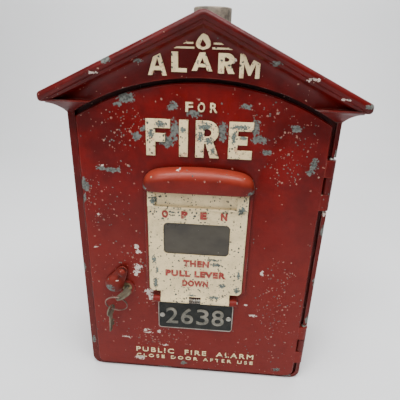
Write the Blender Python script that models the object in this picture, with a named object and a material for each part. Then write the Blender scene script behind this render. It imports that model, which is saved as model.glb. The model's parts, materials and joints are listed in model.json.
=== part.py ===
"""Street fire alarm call point: a cast gabled case with a hinged door, a drop-down trip door and clockwork.

Metres, +Z up. X = 0 is the centreline, Z = 0 the base, the front faces -Y and the wall is at WALL_Y.
"""

import math

import bmesh
import bpy
from mathutils import Matrix, Vector

GAP = 0.0003  # left between pieces that touch
RUN = 0.0004  # running clearance round a pin or an arbor

# Case
HALF_WIDTH = 0.136
WALL_Y = 0.070
CASE_FRONT_Y = -0.055
WALL = 0.006
BASE_CORNER = 0.012
LEDGE_Y = -0.0495
LEDGE_THICKNESS = 0.005
LEDGE_HALF_WIDTH = 0.119
HUB_X, HUB_Y = 0.004, 0.013
HUB_RADIUS, HUB_BORE, HUB_TOP_Z = 0.020, 0.0138, 0.4355
TRAY_SCREWS = [(x, z) for x in (-0.080, 0.080) for z in (0.068, 0.302)]
WALL_HOLES = [(x, z) for x in (-0.108, 0.108) for z in (0.030, 0.330)]

# Roof
ROOF_SLOPE = math.radians(25.7)
APEX_Z = 0.428
APEX_ROUND = 0.011
EAVE_X = 0.1565
EAVE_Z = 0.3455
PEDIMENT_Y = -0.063

# Main door
DOOR_Y = -0.058
DOOR_THICKNESS = 0.005
DOOR_BACK_Y = DOOR_Y + DOOR_THICKNESS
DOOR_HALF_WIDTH = 0.1275
DOOR_BOTTOM_Z = 0.0045
ARCH_RADIUS = 0.242
ARCH_CENTRE_Z = 0.1245
ARCH_GAP = 0.0045
HINGE_X = 0.1325
HINGE_Y = -0.0535
HINGE_RADIUS = 0.0045
HINGE_PIN_RADIUS = 0.0016
HINGES = {"upper": (0.241, 0.296), "lower": (0.028, 0.084)}
KNUCKLE_HEIGHT = 0.018
NUMBER_PLATE = (-0.046, 0.045, 0.072, 0.1125)
PLATE_FACE_Y = -0.0600
PLATE_SCREWS = [(-0.041, 0.092), (0.040, 0.092)]

# Trip door
TRIP_LEFT, TRIP_RIGHT = -0.055, 0.0525
TRIP_BOTTOM_Z, TRIP_TOP_Z = 0.1295, 0.2578
HOOD_BASE_Z = 0.2585
TRIP_BACK_Y, TRIP_FRONT_Y = -0.060, -0.064
TONGUE_LEFT, TONGUE_RIGHT = -0.042, 0.039
TRIP_AXIS_Y, TRIP_AXIS_Z = -0.0627, 0.118
TRIP_BARREL_RADIUS = 0.004
TRIP_PIN_RADIUS = 0.0014
OPENING = (-0.046, 0.0435, 0.141, 0.249)
WINDOW = (-0.038, 0.035, 0.181, 0.220)

# Lock
KEY_X, KEY_Z = -0.084, 0.128
KEY_TILT = math.radians(212)  # the side of the key's bow that holds the ring, seen from the front
BOW_OUT, BOW_DEPTH, BOW_WIDTH = 0.0165, 0.0080, 0.0105  # the oval bow's centre and half axes
BOW_HOLE = (0.0185, 0.0063)  # out from the door, and towards the ring
COVER_X, COVER_Z = -0.087, 0.153
RING_RADIUS, RING_WIRE = 0.0127, 0.0009
RING_LEAN = math.radians(18)  # the ring's foot is nearer the door than its top

# Clockwork, all arbors along Y
TRAY = (-0.090, 0.090, 0.058, 0.312)
TRAY_FLOOR_Y, TRAY_BACK_Y, TRAY_RIM_Y = 0.056, 0.060, 0.012
BACK_PLATE_Y, FRONT_PLATE_Y = 0.040, -0.002
PLATE_THICKNESS = 0.0025
PLATE = (-0.072, 0.056, 0.146, 0.234)
SECTOR_Y = -0.010
LEVER_Y = -0.034
LEVER_X, LEVER_Z = -0.055, 0.205
SECTOR_RADIUS = 0.024
COIL_STEPS = 8  # points in each turn of a spring
TOOTH_SHARE = 0.40  # of the pitch, measured on the pitch circle

# Each wheel's teeth, module and middle Y, and the teeth of the pinion that it drives
GREAT_TEETH, GREAT_MODULE, GREAT_Y = 32, 0.00125, 0.0150
SECOND_TEETH, SECOND_MODULE, SECOND_Y = 30, 0.0012, 0.0060
THIRD_TEETH, THIRD_MODULE, THIRD_Y = 30, 0.001, 0.0240
GREAT_PINION, SECOND_PINION, THIRD_PINION = 12, 10, 10
WHEEL_THICKNESS = 0.003
PINION_THICKNESS = 0.005
ARBOR_RADIUS = 0.0018
ARBOR_BACK_Y = 0.0455
LONG_ARBOR_Y, SHORT_ARBOR_Y = -0.0135, -0.0045  # front ends
CODE_Y, CODE_RADIUS = -0.0100, 0.0175
CODE_GROUPS = (2, 3, 1, 4)  # notches in each group round the code wheel

# Electrical pieces and the bell
CONTACT_BLOCK = (0.018, 0.040, 0.2010, 0.2200)
CONTACT_SPRINGS = {"lower": 0.2062, "upper": 0.2125}
TERMINAL_BLOCK = (-0.046, 0.046, 0.262, 0.284)
TERMINAL_PITCH = 0.022
BELL = (0.046, 0.100)
STRIKER = (-0.006, 0.078)

for old in list(bpy.data.objects):
    bpy.data.objects.remove(old, do_unlink=True)


# ---------------------------------------------------------------- materials

def material(name, colour, metallic, roughness, alpha=1.0):
    made = bpy.data.materials.new(name)
    made.use_nodes = True
    shader = made.node_tree.nodes["Principled BSDF"]
    shader.inputs["Base Color"].default_value = (*colour, 1.0)
    shader.inputs["Metallic"].default_value = metallic
    shader.inputs["Roughness"].default_value = roughness
    shader.inputs["Alpha"].default_value = alpha
    made.diffuse_color = (*colour, alpha)
    return made


RED = material("red_enamel", (0.36, 0.022, 0.012), 0.0, 0.38)
CREAM = material("cream_enamel", (0.66, 0.60, 0.42), 0.0, 0.45)
BLACK = material("plate_enamel", (0.012, 0.017, 0.014), 0.0, 0.4)
CAST = material("bare_casting", (0.30, 0.31, 0.30), 0.9, 0.5)
STEEL = material("steel", (0.45, 0.45, 0.43), 1.0, 0.35)
BRASS = material("brass", (0.70, 0.50, 0.20), 1.0, 0.3)
GLASS = material("window_glass", (0.20, 0.20, 0.20), 0.0, 0.1, 0.4)
RUBBER = material("rubber", (0.02, 0.02, 0.02), 0.0, 0.8)
FIBRE = material("black_fibre", (0.03, 0.022, 0.018), 0.0, 0.5)
IRON = material("black_iron", (0.05, 0.05, 0.05), 0.6, 0.5)


# ---------------------------------------------------------------- outlines, as (x, z) points

def arc(x, z, radius, start, end, steps):
    """Points on an arc from start to end, in degrees, counter-clockwise from +X."""
    angles = (math.radians(start + (end - start) * i / steps) for i in range(steps + 1))
    return [(x + radius * math.cos(a), z + radius * math.sin(a)) for a in angles]


def circle(x, z, radius, steps=24):
    return arc(x, z, radius, 0, 360 * (steps - 1) / steps, steps - 1)


def rectangle(x0, x1, z0, z1, radius=0.0, steps=4):
    if not radius:
        return [(x0, z0), (x1, z0), (x1, z1), (x0, z1)]
    return (
        arc(x0 + radius, z0 + radius, radius, 180, 270, steps)
        + arc(x1 - radius, z0 + radius, radius, 270, 360, steps)
        + arc(x1 - radius, z1 - radius, radius, 0, 90, steps)
        + arc(x0 + radius, z1 - radius, radius, 90, 180, steps)
    )


def arched(left, right, bottom, grow=0.0, corner=0.0, steps=14):
    """A panel with straight sides under the door's arch, grown outwards at the arch."""
    radius = ARCH_RADIUS + grow
    start = math.degrees(math.acos(right / radius))
    end = math.degrees(math.acos(left / radius))
    if corner:
        foot = arc(left + corner, bottom + corner, corner, 180, 270, 3)
        foot += arc(right - corner, bottom + corner, corner, 270, 360, 3)
    else:
        foot = [(left, bottom), (right, bottom)]
    return foot + arc(0, ARCH_CENTRE_Z, radius, start, end, steps)


def gear(teeth, module, phase=0.0, first=0, last=None):
    """Tooth points round a gear's rim; phase turns a tooth to that angle in radians."""
    pitch = math.tau / teeth
    radius = teeth * module / 2
    root, tip = radius - 1.2 * module, radius + 0.85 * module
    half_root, half_tip = pitch * (TOOTH_SHARE / 2 + 0.10), pitch * (TOOTH_SHARE / 2 - 0.10)
    points = []
    for tooth in range(first, teeth if last is None else last):
        middle = phase + tooth * pitch
        for reach, turn in ((root, -half_root), (tip, -half_tip), (tip, half_tip), (root, half_root)):
            points.append((reach * math.cos(middle + turn), reach * math.sin(middle + turn)))
    return points


# ---------------------------------------------------------------- shapes

def prism(outline, y0, y1):
    """An (x, z) outline carried from y0 to y1."""
    shape = bmesh.new()
    rims = [[shape.verts.new((x, y, z)) for x, z in outline] for y in (y0, y1)]
    return skin(shape, rims, capped=True)


def skin(shape, rings, capped=False, looped=False):
    """Joins rings of points, one after another, into a closed surface. A ring of one point is a tip."""
    pairs = list(zip(rings, rings[1:]))
    if looped:
        pairs.append((rings[-1], rings[0]))
    for near, far in pairs:
        count = max(len(near), len(far))
        for i in range(count):
            j = (i + 1) % count
            if len(near) == 1:
                shape.faces.new((near[0], far[j], far[i]))
            elif len(far) == 1:
                shape.faces.new((near[i], near[j], far[0]))
            else:
                shape.faces.new((near[i], near[j], far[j], far[i]))
    if capped:
        shape.faces.new(rings[0])
        shape.faces.new(list(reversed(rings[-1])))
    bmesh.ops.recalc_face_normals(shape, faces=shape.faces)
    return shape


def turned(profile, centre, axis="Z", steps=24, bored=False):
    """A profile of (radius, distance along the axis) turned about it. A bored one closes on itself."""
    shape = bmesh.new()
    rings = []
    for radius, along in profile:
        turns = steps if radius else 1
        angles = [math.tau * i / turns for i in range(turns)]
        ring = [(radius * math.cos(a), radius * math.sin(a), along) for a in angles]
        rings.append([shape.verts.new(point) for point in ring])
    skin(shape, rings, looped=bored)
    aim = {
        "X": Matrix.Rotation(math.pi / 2, 4, "Y"),
        "Y": Matrix.Rotation(-math.pi / 2, 4, "X"),
        "Z": Matrix.Identity(4),
    }[axis]
    shape.transform(Matrix.Translation(centre) @ aim)
    return shape


def rod(radius, start, end, centre, axis="Z", steps=20):
    """A plain round bar from start to end along the axis, measured from centre."""
    return turned([(0, start), (radius, start), (radius, end), (0, end)], centre, axis, steps)


def tube(outer, inner, start, end, centre, axis="Z", steps=24):
    profile = [(inner, start), (outer, start), (outer, end), (inner, end)]
    return turned(profile, centre, axis, steps, bored=True)


def block(x0, x1, y0, y1, z0, z1):
    return prism(rectangle(x0, x1, z0, z1), y0, y1)


def side_prism(outline, x0, x1):
    """A (y, z) outline carried from x0 to x1."""
    shape = bmesh.new()
    rims = [[shape.verts.new((x, y, z)) for y, z in outline] for x in (x0, x1)]
    return skin(shape, rims, capped=True)


# ---------------------------------------------------------------- objects

def pivot(name, place, parent=None):
    """An empty at a place in the world, on a joint's axis, for the pieces that turn about it."""
    made = bpy.data.objects.new(name, None)
    made.empty_display_size = 0.01
    made.parent = parent
    made.location = Vector(place) - (world_place(parent) if parent else Vector())
    bpy.context.scene.collection.objects.link(made)
    return made


def world_place(made):
    """Where an empty is; none of them is turned."""
    place = Vector(made.location)
    return place + world_place(made.parent) if made.parent else place


def piece(name, shape, paint=None, parent=None, sharp=35):
    """An object from a shape in world coordinates; its origin goes to its parent pivot."""
    mesh = bpy.data.meshes.new(name)
    origin = world_place(parent) if parent else Vector()
    shape.transform(Matrix.Translation(-origin))
    bmesh.ops.recalc_face_normals(shape, faces=shape.faces)
    shape.to_mesh(mesh)
    shape.free()
    made = bpy.data.objects.new(name, mesh)
    bpy.context.scene.collection.objects.link(made)
    if paint:
        mesh.materials.append(paint)
    mesh.shade_smooth()
    mesh.set_sharp_from_angle(angle=math.radians(sharp))
    made.parent = parent
    return made


def helper(name, shape, parent=None):
    """A shape that only takes part in a Boolean."""
    made = piece(name, shape, parent=parent)
    made.hide_render = True
    made.display_type = "WIRE"
    return made


def apply_to(target, operation, tool):
    step = target.modifiers.new(operation.title(), "BOOLEAN")
    step.operation = operation
    step.object = tool


def combine(target, operation, shapes):
    """Adds shapes to a target or cuts them from it, each as a hidden helper."""
    for shape in shapes:
        apply_to(target, operation, helper(f"{target.name}.{operation.lower()}", shape, target.parent))
    return target


def add(target, *shapes):
    return combine(target, "UNION", shapes)


def cut(target, *shapes):
    return combine(target, "DIFFERENCE", shapes)


def bevel(target, width, segments=1, angle=40):
    edge = target.modifiers.new("Edge", "BEVEL")
    edge.width = width
    edge.segments = segments
    edge.limit_method = "ANGLE"
    edge.angle_limit = math.radians(angle)
    return target


def coil(name, radius, wire, start, end, turns, centre, axis, paint, parent=None):
    """A round coil spring as a bevelled curve."""
    curve = bpy.data.curves.new(name, "CURVE")
    curve.dimensions = "3D"
    curve.bevel_depth = wire
    curve.bevel_resolution = 0
    curve.use_fill_caps = True
    curve.materials.append(paint)
    line = curve.splines.new("POLY")
    count = turns * COIL_STEPS
    line.points.add(count)
    origin = world_place(parent) if parent else Vector()
    for i, point in enumerate(line.points):
        angle = math.tau * i / COIL_STEPS
        along = start + (end - start) * i / count
        across = (radius * math.cos(angle), radius * math.sin(angle))
        place = (along, *across) if axis == "X" else (across[0], along, across[1])
        point.co = (*(Vector(centre) + Vector(place) - origin), 1.0)
    made = bpy.data.objects.new(name, curve)
    bpy.context.scene.collection.objects.link(made)
    made.parent = parent
    return made


# ---------------------------------------------------------------- case

SHARP_APEX_Z = APEX_Z + APEX_ROUND * (1 / math.cos(ROOF_SLOPE) - 1)


def roof_z(x, inset=0.0):
    """Height of the roof's slope at x, or of a line that far inside it."""
    return SHARP_APEX_Z - inset / math.cos(ROOF_SLOPE) - abs(x) * math.tan(ROOF_SLOPE)


def gable(inset, side, foot_z):
    """The roof's outline at an inset from its slopes, with a rounded apex, ending at x = side."""
    slope = math.degrees(ROOF_SLOPE)
    radius = max(APEX_ROUND - inset, 0.002)
    centre_z = SHARP_APEX_Z - (inset + radius) / math.cos(ROOF_SLOPE)
    ridge = arc(0, centre_z, radius, 90 - slope, 90 + slope, 6)
    return [
        (-side, foot_z), (side, foot_z), (side, roof_z(side, inset)), *ridge,
        (-side, roof_z(side, inset)),
    ]


def loft(outlines):
    """Outlines of (y, points) joined front to back."""
    shape = bmesh.new()
    rings = [[shape.verts.new((x, y, z)) for x, z in outline] for y, outline in outlines]
    return skin(shape, rings, capped=True)


def make_case():
    body = rectangle(-HALF_WIDTH, HALF_WIDTH, 0, 0.335)[2:] + (
        arc(-HALF_WIDTH + BASE_CORNER, BASE_CORNER, BASE_CORNER, 180, 270, 5)
        + arc(HALF_WIDTH - BASE_CORNER, BASE_CORNER, BASE_CORNER, 270, 360, 5)
    )
    case = piece("case_shell", prism(body, CASE_FRONT_Y, WALL_Y), RED)

    # Eaves: a cove up each side, and a sloping soffit up to the rim in front
    cove = (
        [(-0.134, 0.322), (0.134, 0.322)]
        + arc(0.1503, 0.3295, 0.0145, 180, 90, 6)
        + [(0.1503, 0.3475), (-0.1503, 0.3475)]
        + arc(-0.1503, 0.3295, 0.0145, 90, 0, 6)
    )
    soffit = side_prism(
        [(-0.0545, 0.3335), (-0.0725, 0.3462), (-0.0725, 0.3476), (0.0695, 0.3476), (0.0695, 0.3215),
         (-0.0545, 0.3215)],
        -0.170, 0.170,
    )
    eaves = helper("eaves", prism(cove, -0.080, 0.080))
    combine(eaves, "INTERSECT", [soffit])

    # Roof: a rounded rim in front, with the pediment sunk inside it behind a fillet and a cove
    rim = [(-0.0760, 0.0040), (-0.0748, 0.0013), (-0.0720, 0.0), (WALL_Y, 0.0)]
    roof = helper("roof", loft([(y, gable(inset, EAVE_X - inset, EAVE_Z)) for y, inset in rim]))
    sunk = [
        (-0.0800, 0.0055), (-0.0760, 0.0058), (-0.0746, 0.0078), (-0.0722, 0.0086),
        (-0.0716, 0.0108), (-0.0704, 0.0118), (-0.0668, 0.0134), (-0.0644, 0.0176),
        (PEDIMENT_Y, 0.0240),
    ]
    cut(roof, loft([(y, gable(inset, 0.165, 0.300)) for y, inset in sunk]))
    apply_to(case, "UNION", eaves)
    apply_to(case, "UNION", roof)

    # Inside: the door's recess, the landing behind it, then the full cavity
    cut(
        case,
        prism(arched(-0.1285, 0.1315, 0.0035, ARCH_GAP, 0.009), -0.090, LEDGE_Y),
        prism(
            arched(-LEDGE_HALF_WIDTH, LEDGE_HALF_WIDTH, 0.013, -0.006, 0.004),
            -0.060, LEDGE_Y + LEDGE_THICKNESS + 0.001,
        ),
        prism(
            [
                (-HALF_WIDTH + WALL, WALL), (HALF_WIDTH - WALL, WALL),
                (HALF_WIDTH - WALL, roof_z(HALF_WIDTH - WALL, 0.0075)), (0.046, 0.398),
                (-0.046, 0.398), (-HALF_WIDTH + WALL, roof_z(HALF_WIDTH - WALL, 0.0075)),
            ],
            LEDGE_Y + LEDGE_THICKNESS, WALL_Y - WALL,
        ),
        rod(HUB_RADIUS + RUN, 0.390, 0.450, (HUB_X, HUB_Y, 0), steps=32),
        *(rod(0.0035, 0.060, 0.075, (x, 0, z), "Y", 12) for x, z in WALL_HOLES),
    )

    # Hinges: a knuckle on the case between the door's two tabs, and room for the tabs
    for low, high in HINGES.values():
        middle = (low + high) / 2
        half = KNUCKLE_HEIGHT / 2
        tabs = ((low - 0.003, low + KNUCKLE_HEIGHT + GAP), (high - KNUCKLE_HEIGHT - GAP, high + 0.003))
        cut(case, *(block(0.1270, 0.140, -0.070, -0.0485, z0, z1) for z0, z1 in tabs))
        add(case, rod(HINGE_RADIUS, middle - half, middle + half, (HINGE_X, HINGE_Y, 0), steps=16))
        cut(case, rod(HINGE_PIN_RADIUS + RUN, low - 0.003, high + 0.003, (HINGE_X, HINGE_Y, 0), steps=12))
        pin = [(0, low - 0.002), (HINGE_PIN_RADIUS, low - 0.002), (HINGE_PIN_RADIUS, high + GAP),
               (0.0028, high + GAP), (0.0022, high + 0.002), (0, high + 0.002)]
        name = "hinge_pin_upper" if low > 0.15 else "hinge_pin_lower"
        piece(name, turned(pin, (HINGE_X, HINGE_Y, 0), steps=12), STEEL)

    # Bosses for the tray's screws
    bosses = [rod(0.007, TRAY_BACK_Y + GAP, 0.066, (x, 0, z), "Y", 14) for x, z in TRAY_SCREWS]
    add(case, *bosses)
    cut(case, *(rod(0.0022, 0.055, 0.067, (x, 0, z), "Y", 10) for x, z in TRAY_SCREWS))


def make_hub():
    lip = 0.0012
    hub = [(HUB_BORE, 0.386), (HUB_RADIUS, 0.386), (HUB_RADIUS, HUB_TOP_Z - lip), (HUB_RADIUS - lip, HUB_TOP_Z),
           (HUB_BORE + lip, HUB_TOP_Z), (HUB_BORE, HUB_TOP_Z - lip)]
    piece("conduit_hub", turned(hub, (HUB_X, HUB_Y, 0), steps=32, bored=True), CAST)
    nut = piece("hub_locknut", prism(circle(0, 0, 0.027, 6), 0, 0.007), STEEL)
    nut.rotation_euler = (math.pi / 2, 0, 0)
    nut.location = (HUB_X, HUB_Y, 0.3905)
    bore = helper("hub_locknut.bore", rod(HUB_RADIUS + RUN, -0.01, 0.02, (0, 0, 0), "Y", 32))
    bore.parent = nut
    apply_to(nut, "DIFFERENCE", bore)


def make_gasket():
    gasket = piece("door_gasket", prism(arched(-0.1255, 0.1255, 0.0065, -0.0015, 0.006), -0.0526, -0.0499), RUBBER)
    cut(gasket, prism(arched(-0.1205, 0.1205, 0.0115, -0.0050, 0.004), -0.060, -0.040))


# ---------------------------------------------------------------- main door and what it carries

def make_door():
    hinge = pivot("main_door_hinge", (HINGE_X, HINGE_Y, 0))
    panel = arched(-DOOR_HALF_WIDTH, DOOR_HALF_WIDTH, DOOR_BOTTOM_Z, 0.0, 0.009, 18)
    door = piece("main_door", prism(panel, DOOR_Y, DOOR_BACK_Y), RED, hinge)
    bevel(door, 0.0012)
    stiffener = helper(
        "main_door.stiffener",
        prism(arched(-0.113, 0.113, 0.019, -0.014, 0.004), DOOR_BACK_Y - 0.001, DOOR_BACK_Y + 0.005),
        hinge,
    )
    cut(stiffener, prism(arched(-0.109, 0.109, 0.023, -0.018, 0.003), -0.060, -0.040))
    apply_to(door, "UNION", stiffener)

    # Hinge tabs, flush with the door's face
    for low, high in HINGES.values():
        for z0, z1 in ((low, low + KNUCKLE_HEIGHT), (high - KNUCKLE_HEIGHT, high)):
            add(
                door,
                rod(HINGE_RADIUS, z0, z1, (HINGE_X, HINGE_Y, 0), steps=16),
                block(0.1255, HINGE_X, DOOR_Y + 0.0001, HINGE_Y, z0, z1),
            )
        cut(door, rod(HINGE_PIN_RADIUS + RUN, low - 0.001, high + 0.001, (HINGE_X, HINGE_Y, 0), steps=12))

    # Raised edges beside the trip door, and lugs for its hinge pin
    add(
        door,
        block(-0.0585, TRIP_LEFT - 0.0006, -0.0625, -0.0575, 0.132, 0.2573),
        block(TRIP_RIGHT + 0.0006, 0.0565, -0.0625, -0.0575, 0.132, 0.2573),
        *(
            side_prism(
                [(TRIP_AXIS_Y + y, TRIP_AXIS_Z + z) for y, z in arc(0, 0, 0.0042, 60, 270, 9)]
                + [(-0.0575, TRIP_AXIS_Z - 0.0042), (-0.0575, TRIP_AXIS_Z + 0.0060)],
                x0, x1,
            )
            for x0, x1 in ((-0.0510, TONGUE_LEFT - 0.0006), (TONGUE_RIGHT + 0.0006, 0.0480))
        ),
        tube(0.0098, 0.0068, -0.0598, -0.0570, (KEY_X, 0, KEY_Z), "Y", 24),
    )
    cut(
        door,
        rod(TRIP_PIN_RADIUS + RUN, -0.060, 0.060, (0, TRIP_AXIS_Y, TRIP_AXIS_Z), "X", 12),
        prism(rectangle(*OPENING, 0.004), -0.070, -0.045),
        rod(0.0065, -0.065, -0.045, (KEY_X, 0, KEY_Z), "Y", 24),
        rod(0.0024, -0.065, -0.045, (COVER_X, 0, COVER_Z), "Y", 10),
        *(rod(0.0017, -0.065, -0.0545, (x, 0, z), "Y", 10) for x, z in PLATE_SCREWS),
    )
    return hinge


def hood_section(x):
    """(y, z) outline of the hood at x: bullnosed, and drawn in towards its rounded ends."""
    along = 2 * (x + 0.001) / 0.118
    fullness = math.sqrt(max(0.0, 1 - abs(along) ** 10))
    top = HOOD_BASE_Z + 0.0038 + fullness * (0.0150 + 0.0057 * (1 - along * along))
    reach = 0.0020 + 0.0160 * fullness
    front, back = DOOR_Y - GAP - reach, DOOR_Y - GAP
    nose = min(0.010, 0.6 * reach)
    low = min(0.0022, 0.2 * reach)
    points = [(back, HOOD_BASE_Z), (front + low, HOOD_BASE_Z), (front, HOOD_BASE_Z + low)]
    points += [
        (front + nose * (1 - math.cos(a)), top - nose + nose * math.sin(a) * 0.98)
        for a in (math.radians(90 * i / 5) for i in range(6))
    ]
    return points + [(back, top)]


def make_hood(parent):
    shape = bmesh.new()
    stations = [-0.0600 + 0.118 * (1 - math.cos(math.pi * i / 18)) / 2 for i in range(19)]
    stations[0] += 0.0004
    stations[-1] -= 0.0004
    rings = [[shape.verts.new((x, y, z)) for y, z in hood_section(x)] for x in stations]
    piece("trip_hood", skin(shape, rings, capped=True), RED, parent, sharp=50)


def make_number_plate(parent):
    plate = piece(
        "number_plate",
        prism(rectangle(*NUMBER_PLATE, 0.004), PLATE_FACE_Y, DOOR_Y - GAP), BLACK, parent,
    )
    cut(plate, *(rod(0.0017, -0.065, -0.050, (x, 0, z), "Y", 10) for x, z in PLATE_SCREWS))
    for side, (x, z) in zip(("left", "right"), PLATE_SCREWS):
        head = PLATE_FACE_Y - GAP
        profile = [(0, head - 0.0015), (0.0018, head - 0.0014), (0.0032, head - 0.0006), (0.0032, head),
                   (0.0013, head), (0.0013, -0.0548), (0, -0.0548)]
        screw = piece(f"number_plate_screw_{side}", turned(profile, (x, 0, z), "Y", 12), STEEL, parent)
        cut(screw, block(x - 0.0004, x + 0.0004, head - 0.003, head - 0.0008, z - 0.005, z + 0.005))


def make_keyhole_cover(parent):
    swing = pivot("keyhole_cover_swing", (COVER_X, -0.062, COVER_Z), parent)
    reach, lobe, eye = 0.022, 0.0112, 0.0056
    lean = math.radians(29)
    x, z = COVER_X - reach * math.sin(lean), COVER_Z - reach * math.cos(lean)
    # Measured from the line between the eye and the lobe, their common tangents leave at this angle
    spread = math.degrees(math.acos((eye - lobe) / reach))
    down = math.degrees(math.atan2(z - COVER_Z, x - COVER_X))
    outline = arc(COVER_X, COVER_Z, eye, down + spread, down + 360 - spread, 8)
    outline += arc(x, z, lobe, down - spread, down + spread, 16)
    cover = piece("keyhole_cover", prism(outline, -0.0648, -0.0604), RED, swing)
    bevel(cover, 0.0014)
    cut(cover, rod(0.0025, -0.070, -0.050, (COVER_X, 0, COVER_Z), "Y", 12))
    head = [(0, -0.0690), (0.0022, -0.0685), (0.0040, -0.0671), (0.0046, -0.0653), (0.0020, -0.0652),
            (0.0020, -0.0535), (0, -0.0535)]
    piece("keyhole_cover_rivet", turned(head, (COVER_X, 0, COVER_Z), "Y", 16), RED, parent)


def make_lock(parent):
    case = piece("lock_case", block(-0.104, -0.062, -0.0526, -0.0335, 0.108, 0.148), IRON, parent)
    bevel(case, 0.0010)
    cut(
        case,
        block(-0.110, -0.066, -0.0413, -0.0357, 0.1195, 0.1365),
        rod(0.0065, -0.060, -0.0405, (KEY_X, 0, KEY_Z), "Y", 20),
    )
    slide = pivot("lock_bolt_slide", (-0.112, -0.0385, KEY_Z), parent)
    bolt = piece("lock_bolt", block(-0.1120, -0.0800, -0.0410, -0.0360, 0.1200, 0.1360), STEEL, slide)
    bevel(bolt, 0.0008)
    turn = pivot("door_key_turn", (KEY_X, DOOR_Y, KEY_Z), parent)
    barrel = piece("lock_cylinder", rod(0.0061, -0.0585, -0.0418, (KEY_X, 0, KEY_Z), "Y", 20), BRASS, turn)
    cut(barrel, key_prism(rectangle(-0.0145, 0.010, -0.0033, 0.0033), 0.0028))
    make_key(turn)


def key_prism(outline, thickness):
    """A flat shape through the lock: points are (distance out from the door, distance towards the ring)."""
    across = Vector((math.cos(KEY_TILT), 0, math.sin(KEY_TILT)))
    out = Vector((0, -1, 0))
    normal = out.cross(across)
    return flat_shape(outline, Vector((KEY_X, DOOR_Y, KEY_Z)), out, across, normal, thickness)


def flat_shape(outline, origin, first, second, normal, thickness):
    shape = bmesh.new()
    rims = []
    for side in (-thickness / 2, thickness / 2):
        rims.append([shape.verts.new(origin + first * a + second * b + normal * side) for a, b in outline])
    return skin(shape, rims, capped=True)


def make_key(turn):
    half = 0.0026
    angles = [math.radians(-165 + 330 * i / 16) for i in range(17)]
    bow = [(BOW_OUT + BOW_DEPTH * math.cos(a), BOW_WIDTH * math.sin(a)) for a in angles]
    outline = [(-0.0130, -half), *bow, (-0.0130, half)]
    key = piece("door_key", key_prism(outline, 0.0020), STEEL, turn)
    cut(key, key_prism(circle(*BOW_HOLE, 0.0027, 14), 0.010))
    hole = Vector((KEY_X, DOOR_Y - BOW_HOLE[0], KEY_Z))
    hole += BOW_HOLE[1] * Vector((math.cos(KEY_TILT), 0, math.sin(KEY_TILT)))
    centre = hole - ring_point(90 - 20)
    ring_swing = pivot("key_ring_swing", hole, turn)
    wire = [(RING_RADIUS + x, y) for x, y in circle(0, 0, RING_WIRE, 6)]
    ring = turned(wire, (0, 0, 0), "Y", 24, bored=True)
    bmesh.ops.rotate(ring, verts=ring.verts, cent=(0, 0, 0), matrix=Matrix.Rotation(RING_LEAN, 3, "X"))
    bmesh.ops.translate(ring, verts=ring.verts, vec=centre)
    piece("key_ring", ring, STEEL, ring_swing)
    make_spare_key(centre + ring_point(230), ring_swing)


def ring_point(degrees):
    """A point of the ring from its centre, at an angle seen square to it."""
    angle = math.radians(degrees)
    up = Vector((0, -math.sin(RING_LEAN), math.cos(RING_LEAN)))
    return RING_RADIUS * (math.cos(angle) * Vector((1, 0, 0)) + math.sin(angle) * up)


def make_spare_key(hole, parent):
    """It hangs from the ring's lower left, turned nearly edge-on."""
    swing = pivot("spare_key_swing", hole, parent)
    down = Vector((-0.06, 0, -1)).normalized()
    normal = Vector((0.95, -0.3, 0))
    normal = (normal - down * normal.dot(down)).normalized()
    across = down.cross(normal)
    bow = arc(0.0035, 0, 0.0075, 20, 340, 14)
    bit = [(0.0210, -0.0022), (0.0210, -0.0062), (0.0235, -0.0062), (0.0235, -0.0040), (0.0255, -0.0040),
           (0.0255, -0.0062), (0.0285, -0.0062), (0.0285, -0.0022), (0.0345, -0.0022), (0.0345, 0.0022)]
    outline = bow + bit
    key = piece("spare_key", flat_shape(outline, hole, down, across, normal, 0.0016), STEEL, swing)
    cut(key, flat_shape(circle(0, 0, 0.0033, 14), hole, down, across, normal, 0.010))


# ---------------------------------------------------------------- trip door

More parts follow.
